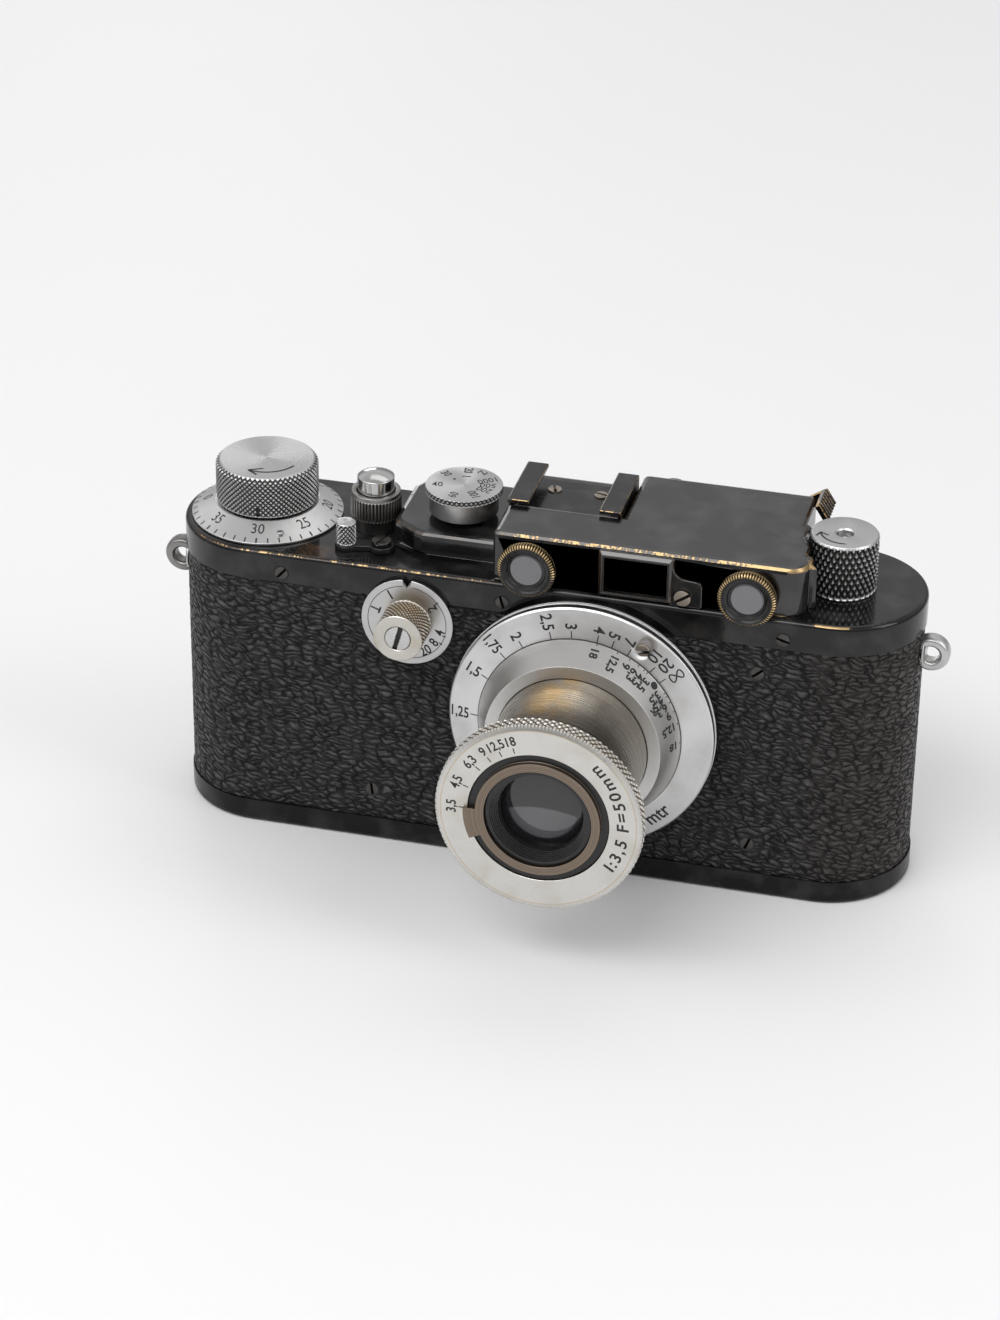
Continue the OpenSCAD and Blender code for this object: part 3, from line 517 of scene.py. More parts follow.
MATERIALS = {
    "housing": worn_black("black_enamel_housing", housing_wear, 0.12, 1.62),
    "skirt": worn_black("black_enamel_top", skirt_wear, 0.06, 1.42),
    "lips": worn_black("black_enamel_shoe", lip_wear, 0.2),
    "finder": worn_black("black_enamel_finder", finder_wear, 0.1, 1.72),
    "base": worn_black("black_enamel_base", no_wear, 0.2, 1.3),
    "black": dull_black("black_metal", (0.006, 0.006, 0.006), 0.3),
    "fill": dull_black("engraving_fill", (0.01, 0.01, 0.01), 0.6),
    "nickel": turned_metal("turned_nickel"),
    "clean": turned_metal("turned_nickel_clean", tarnish=0.15, roughness=0.2),
    "polished": polished_metal(),
    "knurl": turned_metal("knurled_nickel", (0.56, 0.557, 0.555), roughness=0.27, tarnish=0.12, grooves=0,
                          uneven=0.02, fine=2),
    "scale": turned_metal("scale_nickel", (0.72, 0.715, 0.71), roughness=0.3, tarnish=0.25, grooves=0.002),
    "cone": turned_metal("cone_nickel", (0.66, 0.65, 0.635), roughness=0.36, tarnish=0.1, grooves=0.002,
                         uneven=0.03),
    "dial": turned_metal("dial_nickel", (0.57, 0.565, 0.56), roughness=0.3, tarnish=0.2, grooves=0,
                         uneven=0.04, fine=2),
    "tinted": turned_metal("tinted_nickel", (0.6, 0.58, 0.53), (0.45, 0.33, 0.17), 0.26, 0.75,
                           groove=(0.16, 0.1, 0.04)),
    "ring_knurl": turned_metal("ring_knurl", (0.68, 0.665, 0.63), (0.5, 0.42, 0.28), 0.24, 0.4,
                               groove=(0.09, 0.06, 0.03)),
    "edge_brass": turned_metal("edge_brass", (0.6, 0.5, 0.34), (0.5, 0.48, 0.44), 0.28, 1.0),
    "dark_knurl": turned_metal("dark_worn_knurl", (0.3, 0.29, 0.28), (0.1, 0.09, 0.08), 0.3, 0.7),
    "screw": turned_metal("blackened_screw", (0.1, 0.095, 0.09), (0.03, 0.028, 0.026), 0.3, 0.5,
                          groove=(0.004, 0.004, 0.004)),
    "screw_worn": turned_metal("worn_screw", (0.4, 0.35, 0.3), (0.12, 0.1, 0.085), 0.32, 0.7,
                               groove=(0.006, 0.005, 0.005)),
    "bronze": aperture_metal(),
    "rim_painted": rim_metal("painted_rim_brass", 3.2),
    "rim_bare": rim_metal("bare_rim_brass", 0.4),
    "brass": plain_metal("brass", (0.74, 0.52, 0.24), (0.42, 0.27, 0.12), 0.32, 0.6),
    "plain": plain_metal("plain_nickel", NICKEL, NICKEL_DARK, 0.26, 0.4),
    "inner": plain_metal("inner_steel", (0.5, 0.5, 0.5), (0.25, 0.24, 0.23), 0.4, 0.5),
    "shell": plain_metal("shell_alloy", (0.42, 0.42, 0.42), (0.2, 0.2, 0.2), 0.5, 0.5),
    "tube": tube_metal(),
    "leather": leather_material(),
    "finder_glass": finder_glass(),
    "window": glass_material("window_glass", (0.14, 0.142, 0.15)),
    "lens": lens_glass(),
    "cloth": cloth_material(),
}

# Slot names with the materials listed under each; piece() looks a piece's slot up here unless the piece names
# one, and does nothing more with it.
SLOTS = {
    "satin_nickel": ("knurl", "dial", "tinted"),
    "nickel": ("nickel", "clean", "polished", "scale", "cone", "tube", "ring_knurl"),
    "worn_nickel": ("dark_knurl", "screw_worn"),
    "brass": ("edge_brass", "rim_painted", "rim_bare", "lips"),
    "black_metal": ("black", "screw"),
    "black_enamel": ("finder",),
    "glass": ("window", "lens"),
    "inner_metal": ("inner",),
    "leather": ("leather",),
}
SLOT_OF = {material: slot for slot, materials in SLOTS.items() for material in materials}


# ---------- making meshes ----------


def put(name, data):
    """A new object in the scene."""
    made = bpy.data.objects.new(name, data)
    bpy.context.scene.collection.objects.link(made)
    return made


def weigh_normals(made):
    """Lets the large faces lead the smooth shading."""
    weigh = made.modifiers.new("weigh", "WEIGHTED_NORMAL")
    weigh.keep_sharp = True


def bevel_edges(made, width):
    """A bevel on the hard edges, as the last modifier."""
    bevel = made.modifiers.new("edges", "BEVEL")
    bevel.width = width * MM
    bevel.segments = 3
    bevel.limit_method = "ANGLE"
    bevel.angle_limit = math.radians(35)
    return bevel


def soften(made, width):
    """Bevels a piece's hard edges ahead of the modifier that sets its normals."""
    bevel_edges(made, width)
    made.modifiers.move(len(made.modifiers) - 1, 0)


def piece(name, points, faces, material, body, place=Matrix.Identity(4), mark=None, stands_for="", slot=None):
    """A closed mesh in millimetres, placed in the frame and riding on a body. It may stand for a CAD node."""
    mesh = bpy.data.meshes.new(name)
    mesh.from_pydata((np.asarray(points) * MM).tolist(), [], faces)
    mesh.validate()
    mesh.shade_smooth()
    mesh.set_sharp_from_angle(angle=math.radians(33))
    if mark is not None:
        mesh.attributes.new("mark", "FLOAT", "POINT").data.foreach_set("value", np.asarray(mark, float))
    mesh.materials.append(MATERIALS[material])
    made = put(name, mesh)
    made.matrix_world = place
    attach(made, body)
    if stands_for:
        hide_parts(stands_for)
    slot = slot or SLOT_OF.get(material)
    weigh_normals(made)
    return made


def rounded(line, radius, ring=False, parts=3):
    """A half outline with its corners rounded by radius, or by less where a side is short."""
    line = [np.array(p, float) for p in line]
    result = []
    for i, corner in enumerate(line):
        if not ring and i in (0, len(line) - 1):
            result.append(corner)
            continue
        back = line[i - 1] - corner
        ahead = line[(i + 1) % len(line)] - corner
        back_len, ahead_len = np.linalg.norm(back), np.linalg.norm(ahead)
        back, ahead = back / back_len, ahead / ahead_len
        turn = math.acos(max(-1.0, min(1.0, float(back @ ahead))))
        if turn > math.radians(174):
            result.append(corner)
            continue
        cut = min(radius / math.tan(turn / 2), 0.45 * back_len, 0.45 * ahead_len)
        for t in np.linspace(0, 1, parts + 1):
            start, end = corner + back * cut, corner + ahead * cut
            result.append((1 - t) ** 2 * start + 2 * t * (1 - t) * corner + t * t * end)
    return result


def refined(line, low, high, size, ring=False):
    """The outline with every side between the heights low and high cut into steps of about size."""
    line = [np.array(p, float) for p in line]
    result = []
    ends = line[1:] + ([line[0]] if ring else [])
    for start, end in zip(line, ends):
        inside = low - 0.01 <= min(start[1], end[1]) and max(start[1], end[1]) <= high + 0.01
        count = max(1, round(np.linalg.norm(end - start) / size)) if inside else 1
        result.extend(start + (end - start) * k / count for k in range(count))
    if not ring:
        result.append(line[-1])
    return result


def turned(name, line, steps, material, body, place, relief=None, ring=False, **more):
    """A solid of revolution round local Z from a half outline that runs up its outside.
    relief(angle, radius, height) gives how far the points move inwards and down, and their mark."""
    line = np.array(line, float)
    rows = len(line)
    angle = np.repeat(np.linspace(0, WHOLE, steps, endpoint=False), rows).reshape(steps, rows)
    radius = np.tile(line[:, 0], (steps, 1))
    height = np.tile(line[:, 1], (steps, 1))
    mark = np.zeros_like(radius)
    if relief:
        inwards, down, mark = relief(angle, radius, height)
        radius = radius - inwards
        height = height - down
    grid = np.arange(steps * rows).reshape(steps, rows)
    for row in np.flatnonzero(line[:, 0] == 0):
        grid[:, row] = grid[0, row]
    after = np.roll(grid, -1, axis=0)
    across = np.roll(grid, -1, axis=1)
    both = np.roll(after, -1, axis=1)
    quads = np.stack([grid, after, both, across], axis=-1)
    if not ring:
        quads = quads[:, :-1]
    quads = quads.reshape(-1, 4)
    used, index = np.unique(quads, return_inverse=True)
    points = np.stack([radius * np.cos(angle), radius * np.sin(angle), height], axis=-1).reshape(-1, 3)[used]
    faces = [tuple(dict.fromkeys(q)) for q in index.reshape(-1, 4).tolist()]
    return piece(name, points, [f for f in faces if len(f) > 2], material, body, place,
                 mark.reshape(-1)[used], **more)


def saw(t):
    """0 on whole numbers, 1 halfway between them."""
    return 1 - np.abs(2 * (t - np.floor(t)) - 1)


def knurl(count, low, high, outer, depth, pitch=None, flat=1.5):
    """Relief of a knurled band: diamonds of that pitch up the side, or straight teeth."""

    def relief(angle, radius, height):
        round_it = angle * count / WHOLE
        if pitch:
            up_it = (height - low) / pitch
            crest = np.minimum(saw(round_it + up_it), saw(round_it - up_it))
        else:
            crest = saw(round_it)
        fade = np.clip((height - low) / 0.25, 0, 1) * np.clip((high - height) / 0.25, 0, 1)
        hollow = (1 - np.minimum(crest * flat, 1)) * fade * (radius > outer)
        return depth * hollow, 0, hollow

    return relief


def rounded_box(name, low, high, edge, material, body, place=Matrix.Identity(4), **more):
    """A block between two corners with bevelled edges."""
    corners = [(x, y, z) for z in (low[2], high[2]) for y in (low[1], high[1]) for x in (low[0], high[0])]
    sides = [(0, 2, 3, 1), (4, 5, 7, 6), (0, 1, 5, 4), (2, 6, 7, 3), (0, 4, 6, 2), (1, 3, 7, 5)]
    made = piece(name, corners, sides, material, body, place, **more)
    soften(made, edge)
    return made


def slab_from(name, outline, low, high, edge, material, body, place=Matrix.Identity(4), **more):
    """A flat outline, counter-clockwise from above, raised from low to high along local Z."""
    count = len(outline)
    points = [(x, y, low) for x, y in outline] + [(x, y, high) for x, y in outline]
    faces = [tuple(reversed(range(count))), tuple(range(count, 2 * count))]
    faces += [(i, (i + 1) % count, count + (i + 1) % count, count + i) for i in range(count)]
    made = piece(name, points, faces, material, body, place, **more)
    soften(made, edge)
    return made


# ---------- figures and lines ----------


CAP_UNIT = 0.682
NARROW = 0.86


def letters(words, cap, anchor=0.5, widest=99.0, wide=NARROW, weight=0.018):
    """Solid letters, no wider in all than widest: x along the line, y from the middle of the capitals,
    side 1 on top and 0 below."""
    curve = bpy.data.curves.new("letters", "FONT")
    curve.body = words
    curve.extrude = 0.5
    curve.offset = weight
    curve.resolution_u = 3
    made = bpy.data.objects.new("letters", curve)
    mesh = bpy.data.meshes.new_from_object(made)
    points = np.array([v.co for v in mesh.vertices])
    faces = [tuple(p.vertices) for p in mesh.polygons]
    bpy.data.objects.remove(made)
    bpy.data.meshes.remove(mesh)
    bpy.data.curves.remove(curve)
    keys, index = np.unique(np.round(points, 5), axis=0, return_inverse=True)
    index = index.reshape(-1)
    faces = [tuple(dict.fromkeys(index[list(f)].tolist())) for f in faces]
    scale = cap / CAP_UNIT
    x = (keys[:, 0] - keys[:, 0].min()) * scale * wide
    x = x * min(1.0, widest / x.max())
    x = x - anchor * x.max()
    return x, keys[:, 1] * scale - cap / 2, (keys[:, 2] > 0).astype(float), [f for f in faces if len(f) > 2]


def ribbon(path, width, closed=False):
    """A flat line of even width along a path of (x, y), in the form that letters() gives."""
    path = np.array(path, float)
    if closed:
        heading = np.roll(path, -1, axis=0) - np.roll(path, 1, axis=0)
    else:
        heading = np.gradient(path, axis=0)
    heading /= np.linalg.norm(heading, axis=1)[:, None]
    left = path + width / 2 * np.stack([-heading[:, 1], heading[:, 0]], axis=1)
    right = path * 2 - left
    flat = np.concatenate([left, right, left, right])
    n = len(path)
    side = np.repeat([0.0, 1.0], 2 * n)
    faces = []
    for i in range(n if closed else n - 1):
        j = (i + 1) % n
        faces += [(2 * n + i, 3 * n + i, 3 * n + j, 2 * n + j), (i, j, n + j, n + i)]
        faces += [(i, 2 * n + i, 2 * n + j, j), (n + i, n + j, 3 * n + j, 3 * n + i)]
    if not closed:
        faces += [(0, n, 3 * n, 2 * n), (n - 1, 3 * n - 1, 4 * n - 1, 2 * n - 1)]
    return flat[:, 0], flat[:, 1], side, faces


class Marks:
    """Filled figures and lines that lie on one turned face, gathered into one piece.
    The face runs from its outer to its inner (radius, height)."""

    def __init__(self, outer, inner, lift=0.02, sink=0.06):
        self.outer = np.array(outer, float)
        along = np.array(inner, float) - self.outer
        self.along = along / np.linalg.norm(along)
        self.out = np.array((self.along[1], -self.along[0]))
        self.lift, self.sink = lift, sink
        self.points, self.faces, self.count = [], [], 0

    def lay(self, form, angle, radius, up="in"):
        """Puts a form at an angle in degrees and a radius. up says where the tops of its letters point."""
        x, y, side, faces = form
        start = (radius - self.outer[0]) / self.along[0]
        along, across = {"in": (y, x), "out": (-y, -x), "clockwise": (x, -y)}[up]
        rise = np.where(side > 0.5, self.lift, -self.sink)
        spot = self.outer + (start + along)[:, None] * self.along + rise[:, None] * self.out
        turn = math.radians(angle) + across / spot[:, 0]
        r, height = spot.T
        self.points.append(np.stack([r * np.cos(turn), r * np.sin(turn), height], axis=1))
        self.faces += [tuple(i + self.count for i in f) for f in faces]
        self.count += len(x)

    def figure(self, words, cap, angle, radius, up="in", **form):
        """Figures whose capitals are cap millimetres high."""
        self.lay(letters(words, cap, **form), angle, radius, up)

    def words_on_arc(self, words, cap, radius, start, stop):
        """Words that read counter-clockwise with their tops inwards, spread from start to stop degrees."""
        forms = [None if letter == " " else letters(letter, cap, 0.0, wide=1.12) for letter in words]
        widths = [0.35 * cap if form is None else form[0].max() for form in forms]
        gap = (math.radians(stop - start) * radius - sum(widths)) / (len(words) - 1)
        along = 0.0
        for form, width in zip(forms, widths):
            if form is not None:
                self.lay(form, start + math.degrees(along / radius), radius)
            along += width + gap

    def tick(self, angle, near, far, width):
        """A short line from the radius near out to the radius far."""
        self.lay(ribbon([(0, 0), (0, far - near)], width), angle, far, "in")

    def arc(self, radius, start, stop, width):
        """A line round the face from start to stop degrees."""
        turn = np.radians(np.linspace(start, stop, max(4, int(abs(stop - start) / 3))))
        self.lay(ribbon([(radius * t, 0) for t in turn], width), 0, radius)

    def line(self, points, width):
        """A straight-sided line through (radius, angle) points."""
        middle_angle = points[0][1]
        path = [(math.radians(a - middle_angle) * r, points[0][0] - r) for r, a in points]
        self.lay(ribbon(path, width), middle_angle, points[0][0])

    def build(self, name, body, place, material="fill", **more):
        return piece(name, np.concatenate(self.points), self.faces, material, body, place, **more)


def arrow(marks, radius, tail, tip, barbs, width):
    """An arc from tail to tip with two barbs that end at the given (radius, angle) points."""
    marks.arc(radius, tail, tip, width)
    for barb in barbs:
        marks.line([(radius, tip), barb], width)


# ---------- top controls ----------


def make_wind_knob():
    """Knurled wind knob with its index cut low in the knurling and its arrow."""
    place = upright("wind_knob")
    r, tall = turned_size("wind_knob")
    line = [(0, 0), (r - 0.4, 0), (r, 0.35), (r, tall - 0.75), (r - 0.75, tall), (0, tall)]
    line = refined(rounded(line, 0.4, parts=5), 0.2, tall - 0.05, 0.12)
    teeth = knurl(60, 0.2, tall - 0.12, r - 0.62, 0.34, 0.96)
    index_angle, index_half, index_deep = math.radians(276.6), 0.026, 0.45

    def relief(angle, radius, height):
        inwards, down, mark = teeth(angle, radius, height)
        away = np.abs((angle - index_angle + math.pi) % WHOLE - math.pi)
        index = (away < index_half) & (height > 0.5) & (height < 2.4) & (radius > r - 0.2)
        return np.where(index, index_deep, inwards), down, np.where(index, 1.0, mark)

    turned("wind_knob_knurled", line, 480, "knurl", "film_wind", place, relief, stands_for="wind_knob")
    top = Marks((r, tall), (0, tall))
    arrow(top, 5.9, -20, -106, [(4.5, -81), (7.0, -88)], 0.4)
    top.build("wind_knob_arrow", "film_wind", place)


def make_counter():
    """Coned dial of 40 frames under the wind knob, with its two studs."""
    place = upright("frame_counter_dial")
    r, tall = turned_size("frame_counter_dial")
    inner, rim, bore = reach("wind_knob") + 0.2, 0.4, 3.05
    line = rounded([(bore, 0), (r, 0), (r, rim), (inner, tall), (bore, tall)], 0.12, ring=True)
    turned("counter_disc", line, 240, "scale", "frame_counter", place, ring=True, slot="satin_nickel",
           stands_for="frame_counter_dial")
    face = Marks((r, rim), (inner, tall))
    frames, shown, reading_angle = 40, 30, 278
    for n in range(frames):
        angle = reading_angle + (shown - n) * 360 / frames
        face.tick(angle, 12.35, 13.3, 0.32 if n % 5 == 0 else 0.24)
        if n % 5 == 0:
            face.figure(str(n), 2.0, angle, 10.75, weight=0.0)
    face.build("counter_figures", "frame_counter", place)
    stud = rounded([(0, 0), (0.65, 0), (0.65, 0.75), (0, 0.95)], 0.2)
    for name, degrees in (("counter_stud_a", -62), ("counter_stud_b", 118)):
        turned(name, stud, 24, "clean", "frame_counter", place @ off_axis(11.7, degrees, 1.0))


def make_release():
    """Straight-knurled collar with the domed button in it."""
    r, tall = turned_size("release_collar")
    waist, hole, neck = r - 0.2, 1.4, 3.45
    line = [(hole, 0), (waist, 0), (waist, 2.4), (r, 2.55), (r, tall - 0.9), (r - 0.15, tall - 0.8),
            (r - 0.15, tall), (neck, tall), (neck, 1.2), (hole, 1.2)]
    line = refined(rounded(line, 0.15, ring=True), 2.6, tall - 0.9, 0.3, ring=True)
    turned("release_collar_knurled", line, 360, "dark_knurl", "camera_body", upright("release_collar"),
           knurl(45, 2.5, tall - 0.8, waist, 0.26), ring=True, stands_for="release_collar")
    r, tall = turned_size("release_button")
    ball, stem, head = 6.2, 1.22, 12.8
    centre = tall - ball
    turns = np.linspace(math.asin(r / ball), 0, 10)
    dome = [(ball * math.sin(t), centre + ball * math.cos(t)) for t in turns[:-1]]
    line = rounded([(0, 0), (stem, 0), (stem, head), (r, head), *dome, (0, tall)], 0.25)
    turned("release_button_domed", line, 96, "polished", "release", upright("release_button"),
           stands_for="release_button")


def make_clutch_knob():
    """Small knurled knob on the wind and rewind lever."""
    r, tall = turned_size("clutch_knob")
    line = refined(rounded([(0, 0), (r, 0), (r, tall), (0, tall)], 0.2), 0.1, tall - 0.1, 0.0625)
    turned("clutch_knob_knurled", line, 176, "knurl", "clutch", upright("clutch_knob"),
           knurl(14, 0.15, tall - 0.1, r - 0.2, 0.34, 0.9, 1.7), slot="nickel", stands_for="clutch_knob")


def make_speed_dial():
    """Knurled dial whose lower band stands just above the low part of the housing."""
    place = upright("speed_dial")
    r, tall = turned_size("speed_dial")
    under, foot, band, bore = 2.6, -1.0, r - 0.75, 3.5
    line = rounded([(0, 1.4), (bore, 1.4), (bore, foot), (band, foot), (band, under), (r, under), (r, tall),
                    (0, tall)], 0.2)
    line = refined(line, under + 0.05, tall - 0.02, 0.1)
    turned("speed_dial_knurled", line, 400, "dial", "shutter_dial", place,
           knurl(50, under, tall, r - 0.3, 0.3, 1.2), stands_for="speed_dial")
    face = Marks((r, tall), (0, tall))
    speeds = (("Z", 68.5, 5.5), ("20", 96, 5.3), ("1", 97, 3.1), ("30", 142, 5.15), ("40", 194.5, 4.7),
              ("60", 259, 4.45), ("100", 308, 4.15), ("200", 343, 4.1), ("500", 7.6, 4.2),
              ("1000", 33.3, 4.3))
    for words, angle, radius in speeds:
        face.figure(words, 1.55, angle, radius, "clockwise", weight=0.004)
    face.lay(ribbon(circle(0.16, 12), 0.2, True), 146, 2.6)
    face.build("speed_figures", "shutter_dial", place)


def make_rewind_knob():
    """Knurled rewind knob with a bored top and its arrow."""
    place = upright("rewind_knob")
    r, tall = turned_size("rewind_knob")
    shaft, sunk, hole = 1.55, 8.25, 1.4
    line = [(0, sunk), (shaft, sunk), (shaft, 0), (r, 0), (r, tall - 0.45), (r - 0.3, tall), (1.75, tall),
            (hole, tall - 0.35), (hole, sunk + 0.3), (0, sunk + 0.3)]
    line = refined(rounded(line, 0.2), 0.05, tall - 0.3, 0.21)
    turned("rewind_knob_knurled", line, 396, "knurl", "rewind_grip", place,
           knurl(33, 0.1, tall - 0.42, r - 0.25, 0.42, 2.1, 1.3), stands_for="rewind_knob")
    top = Marks((r, tall), (0, tall))
    arrow(top, 4.2, -80, -166, [(5.2, -152), (3.1, -145)], 0.34)
    top.build("rewind_arrow", "rewind_grip", place)


# ---------- slow speed dial ----------


def make_slow_dial():
    """Notched dial on the front, with its knurled knob."""
    low, high = extent("slow_dial")
    place = facing_out(SLOW[0], SLOW[2], high[1])
    r, front = reach("slow_dial"), high[1] - low[1]
    plate, bore = front - 0.9, 3.05
    line = rounded([(bore, 0), (bore, plate), (r, plate), (r, front), (r - 1.6, front), (0, front)], 0.14)

    def notch(angle, radius, height):
        away = np.abs(angle - math.pi / 2) * radius
        cut = np.clip(1 - away / 0.85, 0, 1) * 1.3 * (radius > r - 0.3)
        return cut, 0, (cut > 0.1) * 0.6

    turned("slow_dial_disc", line, 360, "dial", "slow_speeds", place, notch, stands_for="slow_dial")
    face = Marks((r, front), (0, front))
    face.arc(7.05, 96, 442, 0.12)
    for words, angle, radius in (("2", 36, 5.6), ("4", -12, 6.0), ("8", -34, 5.85), ("20", -57, 6.1),
                                 ("1", 121, 5.9), ("T", 161, 6.0)):
        face.figure(words, 1.75, angle, radius)
    for angle in (40, -15.4, -29):
        face.tick(angle, 6.6, 7.3, 0.2)
    face.build("slow_dial_figures", "slow_speeds", place)
    low, high = extent("slow_dial_knob")
    r, tall = reach("slow_dial_knob"), high[1] - low[1]
    line = [(0, 0), (r, 0), (r, tall), (2.3, tall), (2.3, tall - 0.7), (1, tall - 0.7), (1, 2), (0, 2)]
    line = refined(rounded(line, 0.22), 0.05, tall - 0.05, 0.1)
    place = facing_out(SLOW[0], SLOW[2], high[1])
    turned("slow_dial_knob_knurled", line, 280, "tinted", "slow_speeds", place,
           knurl(35, 0.1, tall - 0.15, r - 0.2, 0.34, 0.95, 1.2), stands_for="slow_dial_knob")


# ---------- lens ----------


def lens_heights(node):
    """Where a node of the lens begins and ends along the lens axis, outwards."""
    low, high = extent(node)
    return -high[1], -low[1]


def infinity_sign(size):
    """A lying eight as a closed path."""
    turns = np.linspace(0, WHOLE, 33)[:-1]
    return [(size * math.sin(t), 1.24 * size * math.sin(t) * math.cos(t)) for t in turns]


FLANGE_R = 23.6
FLANGE_EDGE = 23.3
FACE_LOW = 18.67
FACE_HIGH = 19.65
RING_R = 18.05
CONE_LOW = FACE_HIGH + 0.15
CONE_TOP_R = 15.6
CONE_TOP = 25.1
INDEX_ANGLE = 41.45
ARM_ANGLE = 240
ARM_REACH = 25
ARM_HEIGHT = FACE_HIGH + 0.3


def make_flange():
    """Distance scale round the focusing ring, with its sunken screw and the stop of the infinity catch."""
    back = lens_heights("lens_flange")[0]
    seat = -extent("body_mount_ring")[0][1]
    thread, bore = reach("coupling_ring") + 2.94, reach("coupling_ring") + 0.1
    outer, inner = FLANGE_R, RING_R + 0.1
    line = [(bore, back), (thread, back), (thread, seat), (outer + 0.1, seat), (outer + 0.1, seat + 0.55),
            (outer - 0.15, seat + 0.6), (outer - 0.15, seat + 1.1), (outer, seat + 1.15),
            (outer, FACE_LOW - 0.3), (FLANGE_EDGE, FACE_LOW), (inner, FACE_HIGH), (inner, FACE_LOW + 0.05),
            (bore, FACE_LOW + 0.05)]
    line = refined(rounded(line, 0.08, ring=True), FACE_LOW, FACE_HIGH, 0.35, ring=True)

    pit_angle, pit_radius, pit_half_width, pit_half_length = 58.5, 20.9, 1.8, 2.3

    def recess(angle, radius, height):
        away = (np.degrees(angle) - pit_angle) * math.pi / 180 * radius
        inside = 1 - np.sqrt((away / pit_half_width) ** 2 + ((radius - pit_radius) / pit_half_length) ** 2)
        down = np.clip(inside * 3.0, 0, 1) * 0.55 * (height > FACE_LOW - 0.02) * (radius > RING_R + 0.15)
        return 0, down, np.clip(down, 0, 0.35)

    turned("distance_flange", line, 540, "scale", "lens_mount", ON_LENS, recess, ring=True,
           stands_for="lens_flange")
    face = Marks((FLANGE_EDGE, FACE_LOW), (RING_R, FACE_HIGH))
    infinity_angle, spread = 40.1, 160.2
    past_screw = {20: -3.0, 10: -4.1, 7: 2.4, 5: 0.8}
    for metres in (20, 10, 7, 5, 4, 3, 2.5, 2, 1.75, 1.5, 1.25, 1):
        angle = infinity_angle + spread / (metres - 0.1)
        if metres != 10:
            face.tick(angle, 18.2, 19.5, 0.2)
        words = str(metres).replace(".", ",")
        face.figure(words, 2.0, angle + past_screw.get(metres, 0), 19.85, "clockwise", anchor=1.0, widest=3.3)
    face.tick(infinity_angle, 18.2, 19.5, 0.17)
    face.lay(ribbon(infinity_sign(1.25), 0.26, True), 38.3, 21.35, "clockwise")
    face.figure("mtr", 2.6, 313.5, 20.7)
    face.build("distance_figures", "lens_mount", ON_LENS)
    line = rounded([(0, 0), (1.35, 0), (1.35, 0.85), (0, 0.95)], 0.15)

    def slot_cut(angle, radius, height):
        across = np.abs(radius * np.sin(angle - 0.1))
        down = (across < 0.24) * 0.35 * (height > 0.7) * (radius < 1.36)
        return 0, down, (down > 0) * 1.0

    turned("flange_screw", refined_disc(line, 10), 144, "screw_worn", "lens_mount",
           ON_LENS @ off_axis(20.0, 58, FACE_LOW - 0.5), slot_cut, slot="nickel")
    rounded_box("infinity_stop", (20.4, -1, FACE_LOW - 0.1), (22.4, 1, FACE_LOW + 1.6), 0.2, "nickel",
                "lens_mount", ON_LENS @ turned_by(227))


def refined_disc(line, count):
    """The outline with its closing top side, from the rim to the middle, cut into rings."""
    start, end = np.array(line[-2], float), np.array(line[-1], float)
    return list(line[:-1]) + [start + (end - start) * k / count for k in range(1, count + 1)]


def make_focus_ring():
    """Coned ring with the depth of field scale, and its arm with the infinity catch."""
    bore, thread, helix = reach("lens_tube") + 0.07, 14.7, 16.53
    line = [(bore, 16.2), (thread, 16.2), (thread, 12.2), (helix, 12.2), (helix, FACE_LOW + 0.2),
            (RING_R, FACE_LOW + 0.2), (RING_R, CONE_LOW), (CONE_TOP_R, CONE_TOP), (bore, CONE_TOP + 0.15)]
    turned("depth_ring", rounded(line, 0.1, ring=True), 360, "cone", "focus_mount", ON_LENS, ring=True,
           stands_for="focus_ring")
    face = Marks((RING_R, CONE_LOW), (CONE_TOP_R, CONE_TOP))
    widest_stop, its_angle = 18, 39.3
    for stop, lettered in {18: 39.3, 12.5: 27.3, 9: 19.7, 6.3: 14.2, 4.5: 9.7, 3.5: 5.2}.items():
        words = str(stop).replace(".", ",")
        for sign in (-1, 1):
            face.tick(INDEX_ANGLE + sign * stop * its_angle / widest_stop, RING_R - 0.4, RING_R - 0.02, 0.17)
            face.figure(words, 1.35, INDEX_ANGLE + sign * lettered, RING_R - 0.5, "clockwise", anchor=0.0,
                        widest=3.3, wide=1.15, weight=0.035)
    face.figure("R", 1.4, 30.5, RING_R - 1.65, "clockwise", anchor=0.0, weight=0.035)
    face.lay(ribbon(circle(0.35, 16), 0.72, True), INDEX_ANGLE, RING_R - 0.4)
    face.build("depth_figures", "focus_mount", ON_LENS)
    on_arm = ON_LENS @ turned_by(ARM_ANGLE)
    outline = [(16.9, 1.9), (16.9, -1.9), (23.1, -1.9), (23.1, 1.9)]
    slab_from("focus_arm", outline, ARM_HEIGHT, ARM_HEIGHT + 1.45, 0.25, "nickel", "focus_mount", on_arm)
    eye = rounded([(1.4, 0), (3.0, 0), (3.0, 1.45), (1.4, 1.45)], 0.25, ring=True)
    turned("focus_arm_eye", eye, 96, "nickel", "focus_mount", on_arm @ off_axis(ARM_REACH, 0, ARM_HEIGHT),
           ring=True)
    line = rounded([(0, 0), (1.2, 0), (1.2, 2.2), (3, 2.2), (3, 3.7), (2.4, 4.1), (1.4, 3.95), (0, 3.9)], 0.2)
    line = refined(line, 2.3, 3.6, 0.2)
    place = ON_LENS @ off_axis(ARM_REACH, ARM_ANGLE, ARM_HEIGHT + 0.25)
    turned("infinity_catch_button", line, 180, "knurl", "infinity_catch", place,
           knurl(30, 2.35, 3.6, 2.8, 0.16), slot="nickel", stands_for="infinity_button")


